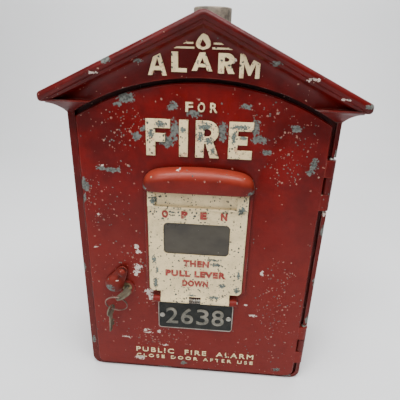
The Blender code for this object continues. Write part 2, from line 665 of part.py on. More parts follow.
def make_trip_door(parent):
    hinge = pivot("trip_door_hinge", (0, TRIP_AXIS_Y, TRIP_AXIS_Z), parent)
    chamfer = 0.0035
    panel = [
        (TRIP_LEFT + chamfer, TRIP_BOTTOM_Z), (TRIP_RIGHT - chamfer, TRIP_BOTTOM_Z),
        (TRIP_RIGHT, TRIP_BOTTOM_Z + chamfer), (TRIP_RIGHT, TRIP_TOP_Z),
        (TRIP_LEFT, TRIP_TOP_Z), (TRIP_LEFT, TRIP_BOTTOM_Z + chamfer),
    ]
    door = piece("trip_door", prism(panel, TRIP_FRONT_Y, TRIP_BACK_Y), CREAM, hinge)
    bevel(door, 0.0006)

    # Finger pull: a scooped band between two cheeks, with a lip under it and a raised band below
    cheek = [(-0.0630, 0.2375), (-0.0672, 0.2395), (-0.0672, 0.2520), (-0.0650, 0.2573), (-0.0630, 0.2573)]
    lip = [(-0.0630, 0.2215), (-0.0647, 0.2222), (-0.0649, 0.2365), (-0.0672, 0.2382), (-0.0674, 0.2400),
           (-0.0655, 0.2404), (-0.0630, 0.2400)]
    barrel = [(TRIP_AXIS_Y + y, TRIP_AXIS_Z + z) for y, z in arc(0, 0, TRIP_BARREL_RADIUS, 150, 375, 10)]
    tongue = barrel + [(TRIP_BACK_Y, 0.1240), (TRIP_BACK_Y, 0.1320), (TRIP_FRONT_Y, 0.1320), (TRIP_FRONT_Y, 0.1240)]
    add(
        door,
        side_prism(tongue, TONGUE_LEFT, TONGUE_RIGHT),
        side_prism(cheek, TRIP_LEFT + 0.0004, -0.0465),
        side_prism(cheek, 0.0405, TRIP_RIGHT - 0.0004),
        side_prism(lip, -0.0500, 0.0460),
    )
    x0, x1, z0, z1 = WINDOW
    cut(
        door,
        prism(rectangle(*WINDOW, 0.005), -0.070, -0.050),
        prism(rectangle(x0 - 0.0028, x1 + 0.0028, z0 - 0.0028, z1 + 0.0028, 0.004, 2), -0.0626, -0.0590),
        rod(TRIP_PIN_RADIUS + RUN, -0.060, 0.060, (0, TRIP_AXIS_Y, TRIP_AXIS_Z), "X", 12),
        block(-0.0085, 0.0055, -0.070, -0.055, 0.110, 0.1236),
    )
    glass = rectangle(x0 - 0.0024, x1 + 0.0024, z0 - 0.0024, z1 + 0.0024, 0.0036, 2)
    piece("window_glass", prism(glass, -0.0623, -0.0605), GLASS, hinge)
    frame = piece(
        "window_retainer",
        prism(rectangle(x0 - 0.0060, x1 + 0.0060, z0 - 0.0060, z1 + 0.0060, 0.004, 2), -0.0597, -0.0586),
        CAST, hinge,
    )
    cut(frame, prism(rectangle(*WINDOW, 0.005, 2), -0.070, -0.050))
    pin = [(0, -0.0530), (0.0026, -0.0530), (0.0026, -0.0513), (TRIP_PIN_RADIUS, -0.0513),
           (TRIP_PIN_RADIUS, 0.0492), (0, 0.0492)]
    piece("trip_hinge_pin", turned(pin, (0, TRIP_AXIS_Y, TRIP_AXIS_Z), "X", 12), STEEL, parent)
    coil("trip_spring", 0.0027, 0.0005, -0.0070, 0.0040, 5, (0, TRIP_AXIS_Y, TRIP_AXIS_Z), "X", STEEL, parent)


# ---------------------------------------------------------------- clockwork

def polar(start, distance, degrees):
    angle = math.radians(degrees)
    return start[0] + distance * math.cos(angle), start[1] + distance * math.sin(angle)


def mesh_distance(teeth_a, teeth_b, module):
    return (teeth_a + teeth_b) * module / 2


def meshing_phase(teeth, towards):
    """The phase that turns a gap between teeth towards an angle in degrees."""
    return math.radians(towards) + math.pi / teeth


# The sector on the pull lever turns the winding pinion
SECTOR_TEETH, SECTOR_MODULE, WINDING_TEETH = 36, SECTOR_RADIUS * 2 / 36, 12
WINDING_TOWARDS, SECOND_TOWARDS, THIRD_TOWARDS, FLY_TOWARDS = 300, 20, -15, 30
LEVER = (LEVER_X, LEVER_Z)
WINDING = polar(LEVER, mesh_distance(SECTOR_TEETH, WINDING_TEETH, SECTOR_MODULE), WINDING_TOWARDS)
SECOND = polar(WINDING, mesh_distance(GREAT_TEETH, GREAT_PINION, GREAT_MODULE), SECOND_TOWARDS)
THIRD = polar(SECOND, mesh_distance(SECOND_TEETH, SECOND_PINION, SECOND_MODULE), THIRD_TOWARDS)
FLY = polar(THIRD, mesh_distance(THIRD_TEETH, THIRD_PINION, THIRD_MODULE), FLY_TOWARDS)
PILLARS = [(x, z) for x in (PLATE[0] + 0.006, PLATE[1] - 0.006) for z in (PLATE[2] + 0.006, PLATE[3] - 0.006)]


def toothed(place, teeth, module, phase, y, thickness):
    outline = [(place[0] + x, place[1] + z) for x, z in gear(teeth, module, phase)]
    return prism(outline, y - thickness / 2, y + thickness / 2)


def spokes(place, hub, rim, y, count=4):
    """Openings between a wheel's spokes, as cutters."""
    openings = []
    for i in range(count):
        start = 360 * i / count
        inner = arc(*place, hub, start + 18, start + 360 / count - 18, 1)
        outer = arc(*place, rim, start + 360 / count - 9, start + 9, 3)
        openings.append(prism(inner + outer, y - 0.01, y + 0.01))
    return openings


def make_tray():
    x0, x1, z0, z1 = TRAY
    tray = piece("movement_tray", prism(rectangle(*TRAY, 0.006, 3), TRAY_RIM_Y, TRAY_BACK_Y), IRON)
    cut(
        tray,
        prism(rectangle(x0 + 0.003, x1 - 0.003, z0 + 0.003, z1 - 0.003, 0.004, 3), TRAY_RIM_Y - 0.01, TRAY_FLOOR_Y),
        *(rod(0.0022, 0.050, 0.070, (x, 0, z), "Y", 10) for x, z in TRAY_SCREWS),
        rod(0.007, z1 - 0.010, z1 + 0.010, (0, 0.030, 0), steps=14),
    )
    for number, (x, z) in enumerate(TRAY_SCREWS, 1):
        head = TRAY_FLOOR_Y - GAP
        profile = [(0, head - 0.0024), (0.0030, head - 0.0022), (0.0042, head - 0.0010), (0.0042, head),
                   (0.0018, head), (0.0018, 0.0655), (0, 0.0655)]
        piece(f"tray_screw_{number}", turned(profile, (x, 0, z), "Y", 10), STEEL)


def make_plates():
    front = piece(
        "front_plate", prism(rectangle(*PLATE, 0.004, 2), FRONT_PLATE_Y, FRONT_PLATE_Y + PLATE_THICKNESS), BRASS,
    )
    back = piece(
        "back_plate", prism(rectangle(*PLATE, 0.004, 2), BACK_PLATE_Y, BACK_PLATE_Y + PLATE_THICKNESS), BRASS,
    )
    arbor_holes = [(x, z, ARBOR_RADIUS + RUN) for x, z in (WINDING, SECOND, THIRD, FLY)]
    for plate, stud in ((front, 0.0015), (back, 0.0030)):
        holes = arbor_holes + [(x, z, stud + GAP) for x, z in PILLARS]
        cut(plate, *(rod(radius, -0.010, 0.050, (x, 0, z), "Y", 8) for x, z, radius in holes))
    rear = BACK_PLATE_Y + PLATE_THICKNESS + GAP
    fore = FRONT_PLATE_Y + PLATE_THICKNESS + GAP
    profile = [
        (0, TRAY_FLOOR_Y - GAP), (0.0045, TRAY_FLOOR_Y - GAP), (0.0045, rear), (0.0030, rear),
        (0.0030, BACK_PLATE_Y - GAP), (0.0040, BACK_PLATE_Y - GAP), (0.0040, fore), (0.0015, fore),
        (0.0015, FRONT_PLATE_Y - GAP), (0.0030, FRONT_PLATE_Y - GAP), (0.0024, FRONT_PLATE_Y - 0.0020),
        (0, FRONT_PLATE_Y - 0.0022),
    ]
    for number, (x, z) in enumerate(PILLARS, 1):
        piece(f"plate_pillar_{number}", turned(profile, (x, 0, z), "Y", 8), BRASS)


def make_lever():
    """The hook that is pulled down, with its sector behind the arm."""
    swing = pivot("pull_lever_swing", (LEVER_X, 0, LEVER_Z))
    x, z = LEVER
    arm = [(x, z - 0.0075), (-0.010, z - 0.0060), (0.0120, z - 0.0060), (0.0120, z + 0.0060),
           (-0.010, z + 0.0060), (x, z + 0.0075)] + arc(x, z, 0.0075, 110, 250, 5)
    lever = piece("pull_lever", prism(arm, LEVER_Y - 0.0025, LEVER_Y + 0.0025), BRASS, swing)
    hook = [(LEVER_Y, z - 0.0058), (-0.0500, z - 0.0058), (-0.0503, z + 0.0170), (-0.0480, z + 0.0185),
            (-0.0460, z + 0.0165), (-0.0455, z + 0.0050), (-0.0435, z + 0.0010), (LEVER_Y, z + 0.0010)]
    sector = [(x + a, z + b) for a, b in gear(SECTOR_TEETH, SECTOR_MODULE, math.radians(WINDING_TOWARDS), -1, 6)]
    sector += arc(x, z, 0.0042, 352, 290, 3)
    add(
        lever,
        side_prism(hook, -0.0060, 0.0115),
        rod(0.0050, -0.0370, -0.0075, (x, 0, z), "Y", 16),
        prism(sector, SECTOR_Y - 0.0015, SECTOR_Y + 0.0015),
    )
    cut(lever, rod(0.0030 + RUN, -0.050, 0.0, (x, 0, z), "Y", 12))
    stud = [(0, -0.0400), (0.0046, -0.0398), (0.0052, -0.0386), (0.0052, -0.0374), (0.0030, -0.0374),
            (0.0030, FRONT_PLATE_Y - GAP), (0, FRONT_PLATE_Y - GAP)]
    piece("lever_stud", turned(stud, (x, 0, z), "Y", 16), STEEL)
    coil("lever_spring", 0.0062, 0.0006, -0.0285, -0.0140, 5, (x, 0, z), "Y", STEEL)


def make_train():
    turn = pivot("winding_arbor_turn", (WINDING[0], 0, WINDING[1]))
    middle = (WINDING[0], 0, WINDING[1])
    pinion_phase = meshing_phase(WINDING_TEETH, WINDING_TOWARDS - 180)
    arbor = toothed(WINDING, WINDING_TEETH, SECTOR_MODULE, pinion_phase, SECTOR_Y, 0.0036)
    winding = piece("winding_arbor", arbor, STEEL, turn)
    add(winding, rod(ARBOR_RADIUS, LONG_ARBOR_Y, ARBOR_BACK_Y, middle, "Y", 12))

    turn = pivot("mainspring_barrel_turn", middle)
    great = toothed(WINDING, GREAT_TEETH, GREAT_MODULE, math.radians(SECOND_TOWARDS), GREAT_Y, WHEEL_THICKNESS)
    barrel = piece("mainspring_barrel", great, BRASS, turn)
    add(barrel, rod(0.0155, 0.0155, 0.0340, middle, "Y", 20), rod(0.0045, 0.0110, 0.0370, middle, "Y", 10))
    cut(barrel, rod(ARBOR_RADIUS + RUN, 0.0, 0.045, middle, "Y", 12))

    # Second arbor: the great wheel drives its pinion, and it carries the code wheel in front
    turn = pivot("second_arbor_turn", (SECOND[0], 0, SECOND[1]))
    pinion_phase = meshing_phase(GREAT_PINION, SECOND_TOWARDS + 180)
    second = piece(
        "second_wheel",
        toothed(SECOND, SECOND_TEETH, SECOND_MODULE, math.radians(THIRD_TOWARDS), SECOND_Y, WHEEL_THICKNESS),
        BRASS, turn,
    )
    cut(second, *spokes(SECOND, 0.0070, 0.0135, SECOND_Y))
    add(
        second,
        toothed(SECOND, GREAT_PINION, GREAT_MODULE, pinion_phase, 0.0125, 0.0110),
        rod(ARBOR_RADIUS, LONG_ARBOR_Y, ARBOR_BACK_Y, (SECOND[0], 0, SECOND[1]), "Y", 8),
    )
    code = piece("code_wheel", code_outline(), BRASS, turn)
    cut(
        code,
        rod(ARBOR_RADIUS + RUN, -0.02, 0.0, (SECOND[0], 0, SECOND[1]), "Y", 12),
        *spokes(SECOND, 0.0055, 0.0120, CODE_Y, 3),
    )

    turn = pivot("third_arbor_turn", (THIRD[0], 0, THIRD[1]))
    pinion_phase = meshing_phase(SECOND_PINION, THIRD_TOWARDS + 180)
    third = piece(
        "third_wheel",
        toothed(THIRD, THIRD_TEETH, THIRD_MODULE, math.radians(FLY_TOWARDS), THIRD_Y, WHEEL_THICKNESS),
        BRASS, turn,
    )
    cut(third, *spokes(THIRD, 0.0050, 0.0110, THIRD_Y))
    add(
        third,
        toothed(THIRD, SECOND_PINION, SECOND_MODULE, pinion_phase, SECOND_Y, PINION_THICKNESS),
        rod(ARBOR_RADIUS, SHORT_ARBOR_Y, ARBOR_BACK_Y, (THIRD[0], 0, THIRD[1]), "Y", 12),
    )

    turn = pivot("fly_turn", (FLY[0], 0, FLY[1]))
    pinion_phase = meshing_phase(THIRD_PINION, FLY_TOWARDS + 180)
    fly = piece(
        "governor_fly", toothed(FLY, THIRD_PINION, THIRD_MODULE, pinion_phase, THIRD_Y, PINION_THICKNESS),
        STEEL, turn,
    )
    x, z = FLY
    add(
        fly,
        rod(ARBOR_RADIUS, SHORT_ARBOR_Y, ARBOR_BACK_Y, (x, 0, z), "Y", 12),
        block(x - 0.0135, x + 0.0135, 0.0300, 0.0370, z - 0.0006, z + 0.0006),
        rod(0.0036, 0.0300, 0.0370, (x, 0, z), "Y", 12),
    )


def code_outline():
    """A disc with its code cut as groups of notches in the rim."""
    pitch = math.tau / (sum(CODE_GROUPS) + 2 * len(CODE_GROUPS))
    angle, points = 0.0, []
    for notches in CODE_GROUPS:
        for _ in range(notches):
            for reach, turn in ((0, 0.02), (0, 0.5), (0.0026, 0.52), (0.0026, 0.98)):
                a = angle + turn * pitch
                points.append(polar(SECOND, CODE_RADIUS - reach, math.degrees(a)))
            angle += pitch
        points += [polar(SECOND, CODE_RADIUS, math.degrees(angle + turn * pitch)) for turn in (0.05, 1.0, 1.95)]
        angle += 2 * pitch
    return prism(points, CODE_Y - 0.0012, CODE_Y + 0.0012)


# ---------------------------------------------------------------- electrical pieces and the bell

def make_contacts():
    x0, x1, z0, z1 = CONTACT_BLOCK
    holder = piece("contact_block", block(x0, x1, -0.0165, FRONT_PLATE_Y - GAP, z0, z1), FIBRE)
    bevel(holder, 0.0005)
    for side, z in CONTACT_SPRINGS.items():
        cut(holder, block(x0 - 0.001, x1 + 0.001, -0.0140, -0.0060, z - GAP, z + 0.0006 + GAP))
        strip = [(x1 + 0.004, z), (x1 + 0.004, z + 0.0006), (-0.0140, z + 0.0006), (-0.0152, z - 0.0003),
                 (-0.0148, z - 0.0008), (-0.0138, z)]
        piece(f"contact_spring_{side}", prism(strip, -0.0137, -0.0063), STEEL)


def make_terminals():
    x0, x1, z0, z1 = TERMINAL_BLOCK
    face, middle = 0.0300, (z0 + z1) / 2
    holder = piece("terminal_block", block(x0, x1, face, TRAY_FLOOR_Y - GAP, z0, z1), FIBRE)
    bevel(holder, 0.0008)
    for number in range(1, 5):
        x = (number - 2.5) * TERMINAL_PITCH
        cut(holder, rod(0.0022, 0.020, 0.045, (x, 0, middle), "Y", 10))
        head = face - GAP
        profile = [(0, head - 0.0030), (0.0036, head - 0.0026), (0.0042, head - 0.0014), (0.0042, head),
                   (0.0018, head), (0.0018, 0.0440), (0, 0.0440)]
        piece(f"terminal_screw_{number}", turned(profile, (x, 0, middle), "Y", 10), BRASS)


def make_bell():
    x, z = BELL
    shell = [(0.0036, 0.0130), (0.0120, 0.0140), (0.0200, 0.0180), (0.0245, 0.0240), (0.0260, 0.0310),
             (0.0244, 0.0310), (0.0230, 0.0248), (0.0188, 0.0195), (0.0115, 0.0158), (0.0036, 0.0150)]
    piece("bell_gong", turned(shell, (x, 0, z), "Y", 20, bored=True), BRASS)
    post = [(0, 0.0105), (0.0040, 0.0108), (0.0048, 0.0127), (0.0032, 0.0127), (0.0032, 0.0153), (0.0050, 0.0153),
            (0.0050, TRAY_FLOOR_Y - GAP), (0, TRAY_FLOOR_Y - GAP)]
    piece("bell_post", turned(post, (x, 0, z), "Y", 14), STEEL)

    # Electromagnet, with its core along X
    bobbin = [(0, -0.0540), (0.0040, -0.0540), (0.0040, -0.0520), (0.0105, -0.0520), (0.0105, -0.0500),
              (0.0085, -0.0500), (0.0085, -0.0270), (0.0105, -0.0270), (0.0105, -0.0250), (0.0040, -0.0250),
              (0.0040, -0.0230), (0, -0.0230)]
    piece("bell_coil", turned(bobbin, (0, 0.030, 0.092), "X", 14), FIBRE)
    bracket = [(-0.0660, 0.0200), (-0.0575, 0.0200), (-0.0543, 0.0200), (-0.0543, 0.0527), (-0.0300, 0.0527),
               (-0.0300, TRAY_FLOOR_Y - GAP), (-0.0575, TRAY_FLOOR_Y - GAP), (-0.0575, 0.0230), (-0.0660, 0.0230)]
    made = bmesh.new()
    rims = [[made.verts.new((bx, by, bz)) for bx, by in bracket] for bz in (0.083, 0.101)]
    piece("coil_bracket", skin(made, rims, capped=True), STEEL)

    swing = pivot("bell_striker_swing", (STRIKER[0], 0, STRIKER[1]))
    x, z = STRIKER
    arm = [(x - 0.004, z - 0.004), (x + 0.004, z - 0.004), (x + 0.004, 0.104), (0.0150, 0.1085),
           (0.0150, 0.1110), (x + 0.0005, 0.1075), (x - 0.006, 0.104), (x - 0.014, 0.102), (x - 0.014, 0.083),
           (x - 0.010, 0.083), (x - 0.006, 0.090)]
    striker = piece("bell_striker", prism(arm, 0.0285, 0.0315), STEEL, swing)
    add(striker, rod(0.0040, 0.0255, 0.0345, (0.0150, 0, 0.1098), "Y", 12))
    cut(striker, rod(0.0020, 0.020, 0.040, (x, 0, z), "Y", 12))
    pin = [(0, 0.0255), (0.0028, 0.0260), (0.0028, 0.0280), (0.0016, 0.0280), (0.0016, 0.0320), (0.0030, 0.0320),
           (0.0030, TRAY_FLOOR_Y - GAP), (0, TRAY_FLOOR_Y - GAP)]
    piece("striker_pivot", turned(pin, (x, 0, z), "Y", 12), STEEL)


def make_ground_lug():
    profile = [(0, 0.0520), (0.0040, 0.0523), (0.0048, 0.0535), (0.0048, 0.0560), (0.0070, 0.0560),
               (0.0070, 0.0575), (0.0024, 0.0575), (0.0024, 0.0635), (0, 0.0635)]
    piece("ground_lug", turned(profile, (0.108, 0, 0.048), "Y", 14), BRASS)


make_case()
make_hub()
make_gasket()
door_hinge = make_door()
make_hood(door_hinge)
make_number_plate(door_hinge)
make_keyhole_cover(door_hinge)
make_lock(door_hinge)
make_trip_door(door_hinge)
make_tray()
make_plates()
make_lever()
make_train()
make_contacts()
make_terminals()
make_bell()
make_ground_lug()
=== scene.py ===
"""Looks of the street fire alarm call point: worn enamels, metals, lettering and finer shapes."""

import json
import math

import bmesh
import bpy
from mathutils import Euler, Matrix, Vector

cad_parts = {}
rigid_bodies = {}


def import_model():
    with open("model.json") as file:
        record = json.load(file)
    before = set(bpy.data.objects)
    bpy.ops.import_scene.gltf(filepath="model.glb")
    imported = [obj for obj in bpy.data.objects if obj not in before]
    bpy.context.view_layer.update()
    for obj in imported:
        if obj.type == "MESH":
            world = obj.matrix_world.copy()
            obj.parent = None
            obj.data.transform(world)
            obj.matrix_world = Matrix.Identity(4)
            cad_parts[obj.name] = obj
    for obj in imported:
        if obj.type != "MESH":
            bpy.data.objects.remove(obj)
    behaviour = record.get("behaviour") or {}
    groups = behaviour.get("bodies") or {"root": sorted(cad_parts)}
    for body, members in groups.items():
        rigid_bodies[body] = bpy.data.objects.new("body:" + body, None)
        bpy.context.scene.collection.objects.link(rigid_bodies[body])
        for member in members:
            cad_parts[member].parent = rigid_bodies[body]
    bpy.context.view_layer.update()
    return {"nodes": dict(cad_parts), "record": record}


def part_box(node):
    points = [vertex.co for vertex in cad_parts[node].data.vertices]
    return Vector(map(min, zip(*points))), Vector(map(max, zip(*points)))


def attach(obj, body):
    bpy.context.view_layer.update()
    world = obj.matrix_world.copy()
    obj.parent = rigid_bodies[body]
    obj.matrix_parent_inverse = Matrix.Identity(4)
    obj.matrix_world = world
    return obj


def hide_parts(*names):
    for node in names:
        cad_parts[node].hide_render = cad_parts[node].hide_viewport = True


for old in list(bpy.data.objects):
    bpy.data.objects.remove(old, do_unlink=True)

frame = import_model()
NODES = frame["nodes"]
BODY_OF = {
    node: body for body, members in frame["record"]["behaviour"]["bodies"].items() for node in members
}
SLOT_OF = {name: node.material_slots[0].material.name for name, node in NODES.items()}

MM = 0.001
WELD = 0.002 * MM
DOOR_FACE_Y = -0.058
PEDIMENT_Y = -0.063


# ---------------------------------------------------------------- node trees

class Paint:
    """One material, with short calls that add its nodes."""

    def __init__(self, name, **sockets):
        self.material = bpy.data.materials.new(name)
        self.material.use_nodes = True
        self.tree = self.material.node_tree
        self.shader = self.tree.nodes["Principled BSDF"]
        self.set(**sockets)
        self.place = self.add("TexCoord").outputs["Object"]

    def add(self, kind, inputs=None, **settings):
        node = self.tree.nodes.new("ShaderNode" + kind)
        for key, value in settings.items():
            setattr(node, key, value)
        for socket, value in (inputs or {}).items():
            self.join(value, node.inputs[socket])
        return node

    def join(self, value, socket):
        if isinstance(value, bpy.types.NodeSocket):
            self.tree.links.new(value, socket)
        else:
            socket.default_value = value

    def set(self, **sockets):
        """Sets the shader's sockets, named with _ for a space."""
        for name, value in sockets.items():
            self.join(value, self.shader.inputs[name.replace("_", " ")])

    def noise(self, scale, detail=3.0, roughness=0.5, distortion=0.0, at=None):
        inputs = {
            "Vector": at or self.place, "Scale": scale, "Detail": detail, "Roughness": roughness,
            "Distortion": distortion,
        }
        return self.add("TexNoise", inputs).outputs["Fac"]

    def calc(self, operation, first, second=0.0, third=0.0):
        node = self.add("Math", {0: first, 1: second, 2: third}, operation=operation)
        return node.outputs[0]

    def vector(self, operation, first, second=(0, 0, 0)):
        node = self.add("VectorMath", {0: first, 1: second}, operation=operation)
        return node.outputs["Value" if operation == "LENGTH" else "Vector"]

    def step(self, value, low, high, floor=0.0, ceiling=1.0):
        """Rises smoothly from floor to ceiling as value goes from low to high."""
        inputs = {"Value": value, "From Min": low, "From Max": high, "To Min": floor, "To Max": ceiling}
        return self.add("MapRange", inputs, interpolation_type="SMOOTHSTEP").outputs["Result"]

    def mix(self, factor, first, second):
        node = self.add("Mix", data_type="RGBA")
        self.join(factor, node.inputs["Factor"])
        for socket, value in ((node.inputs[6], first), (node.inputs[7], second)):
            self.join(value if isinstance(value, bpy.types.NodeSocket) else (*value, 1.0), socket)
        return node.outputs[2]

    def blend(self, factor, first, second):
        """A number that goes from first to second with the factor."""
        node = self.add("Mix", {"Factor": factor, 2: first, 3: second}, data_type="FLOAT")
        return node.outputs[0]

    def ragged(self, amount, scale):
        """The place, pushed about by noise, so that outlines drawn in it come out ragged."""
        push = self.add("TexNoise", {"Vector": self.place, "Scale": scale, "Detail": 4.0}).outputs["Color"]
        offset = self.vector("SUBTRACT", push, (0.5, 0.5, 0.5))
        return self.vector("ADD", self.place, self.vector("MULTIPLY", offset, (amount,) * 3))

    def patches(self, spots, at):
        """Distance to the nearest spot: 0 at its middle, 1 at its edge. Far away anywhere but on the front.

        A spot is (x, z, half width, half height) in mm."""
        nearest = 10.0
        for x, z, wide, high in spots:
            offset = self.vector("SUBTRACT", at, (x * MM, 0, z * MM))
            offset = self.vector("MULTIPLY", offset, (1 / wide / MM, 0, 1 / high / MM))
            nearest = self.calc("MINIMUM", nearest, self.vector("LENGTH", offset))
        depth = self.add("SeparateXYZ", {0: at}).outputs["Y"]
        return self.calc("ADD", nearest, self.step(depth, -0.050, -0.042, 0.0, 4.0))

    def flecks(self, scale, size, share, at):
        """Small irregular dots in a share of the cells. Their radius is up to size, in cells."""
        cell = self.add("TexVoronoi", {"Vector": at, "Scale": scale})
        chosen = self.add("SeparateColor", {0: cell.outputs["Color"]})
        radius = self.calc("MULTIPLY", chosen.outputs["Green"], size)
        inside = self.calc("LESS_THAN", cell.outputs["Distance"], radius)
        return self.calc("MULTIPLY", inside, self.calc("LESS_THAN", chosen.outputs["Red"], share))

    def edges(self, radius, low=0.02, high=0.12):
        """1 on an outer or inner edge, within about radius of it."""
        soft = self.add("Bevel", {"Radius": radius}, samples=4).outputs["Normal"]
        flat = self.add("NewGeometry").outputs["Normal"]
        turned = self.add("VectorMath", {0: soft, 1: flat}, operation="DOT_PRODUCT").outputs["Value"]
        return self.step(self.calc("SUBTRACT", 1.0, turned), low, high)

    def bump(self, height, distance, under=None):
        node = self.add("Bump", {"Height": height, "Distance": distance, "Strength": 1.0})
        if under:
            self.join(under, node.inputs["Normal"])
        return node.outputs["Normal"]


# ---------------------------------------------------------------- materials

# The third red is paler: it stands for dust and for painted reflection of the bright floor.
DARK_RED, RED, DUST_AND_FLOOR_REFLECTION_RED = (0.066, 0.0008, 0.0004), (0.134, 0.0016, 0.0008), (0.136, 0.0085, 0.0050)
PRIMER, TAN_FLAKE, PALE_FLAKE = (0.26, 0.10, 0.075), (0.31, 0.185, 0.135), (0.60, 0.50, 0.43)
BARE_GREY, DARK_GREY = (0.145, 0.150, 0.135), (0.045, 0.050, 0.045)
CREAM, CREAM_STAIN = (0.76, 0.60, 0.325), (0.42, 0.32, 0.16)

# Where the enamel has come off, as (x, z, half width, half height) in mm
DOOR_GREY = [
    (-75, 350, 9, 5), (-83, 344, 4, 3), (-66, 313, 5, 5), (-58, 320, 4, 4), (-29, 344, 5, 4),
    (-7, 337, 8, 4), (-27, 320, 5, 11), (-34, 308, 8, 6), (21, 321, 5, 10), (54, 326, 4, 9),
    (58, 314, 9, 4), (92, 327, 6, 4), (116, 290, 4, 7), (112, 283, 5, 3), (-92, 275, 11, 3),
    (-124, 257, 4, 8), (-106, 277, 4, 3), (42, 346, 5, 3), (-126, 240, 2, 5), (66, 302, 6, 3),
    (105, 13, 6, 3), (-14, 13, 4, 3),
]
DOOR_PALE = [
    (-70, 184, 3, 4), (-68, 178, 4, 3), (-70, 157, 5, 5), (-72, 149, 4, 4), (-57, 123, 5, 6),
    (-55, 115, 3, 4), (-45, 63, 3, 2), (-62, 64, 4, 2), (-88, 50, 6, 1.5), (-72, 17, 6, 3),
    (-105, 280, 4, 2), (-40, 41, 5, 1.5), (59, 113, 2, 2), (70, 98, 5, 1.5), (-112, 222, 2.5, 2),
    (-60, 60, 6, 1.5), (-118, 181, 3, 1.5), (74, 158, 2, 4), (-52, 236, 1.5, 2),
]
CASE_GREY = [
    (152, 352, 5, 2), (-60, 384, 3, 2), (-88, 385, 5, 3), (66, 386, 5, 2.5), (136, 96, 3, 8),
    (136, 217, 3, 8),
    (133, 250, 3, 5), (-136, 150, 2, 6), (136, 150, 2, 9), (120, 3, 7, 2), (-40, 2, 9, 2), (136, 300, 2, 7),
    (-132, 40, 2, 7),
]
BUSY = [  # where flecks crowd
    (92, 303, 24, 34), (88, 300, 14, 22), (-80, 318, 30, 22), (-90, 275, 24, 8), (60, 345, 30, 8),
    (-60, 120, 14, 22), (-50, 55, 45, 14), (95, 120, 20, 60), (-70, 165, 18, 20), (-110, 235, 14, 30),
]
CASE_PALE = [(130, 358, 4, 2), (100, 374, 6, 1.5), (28, 388, 3, 3), (134, 236, 2, 4), (-100, 374, 5, 1.5)]


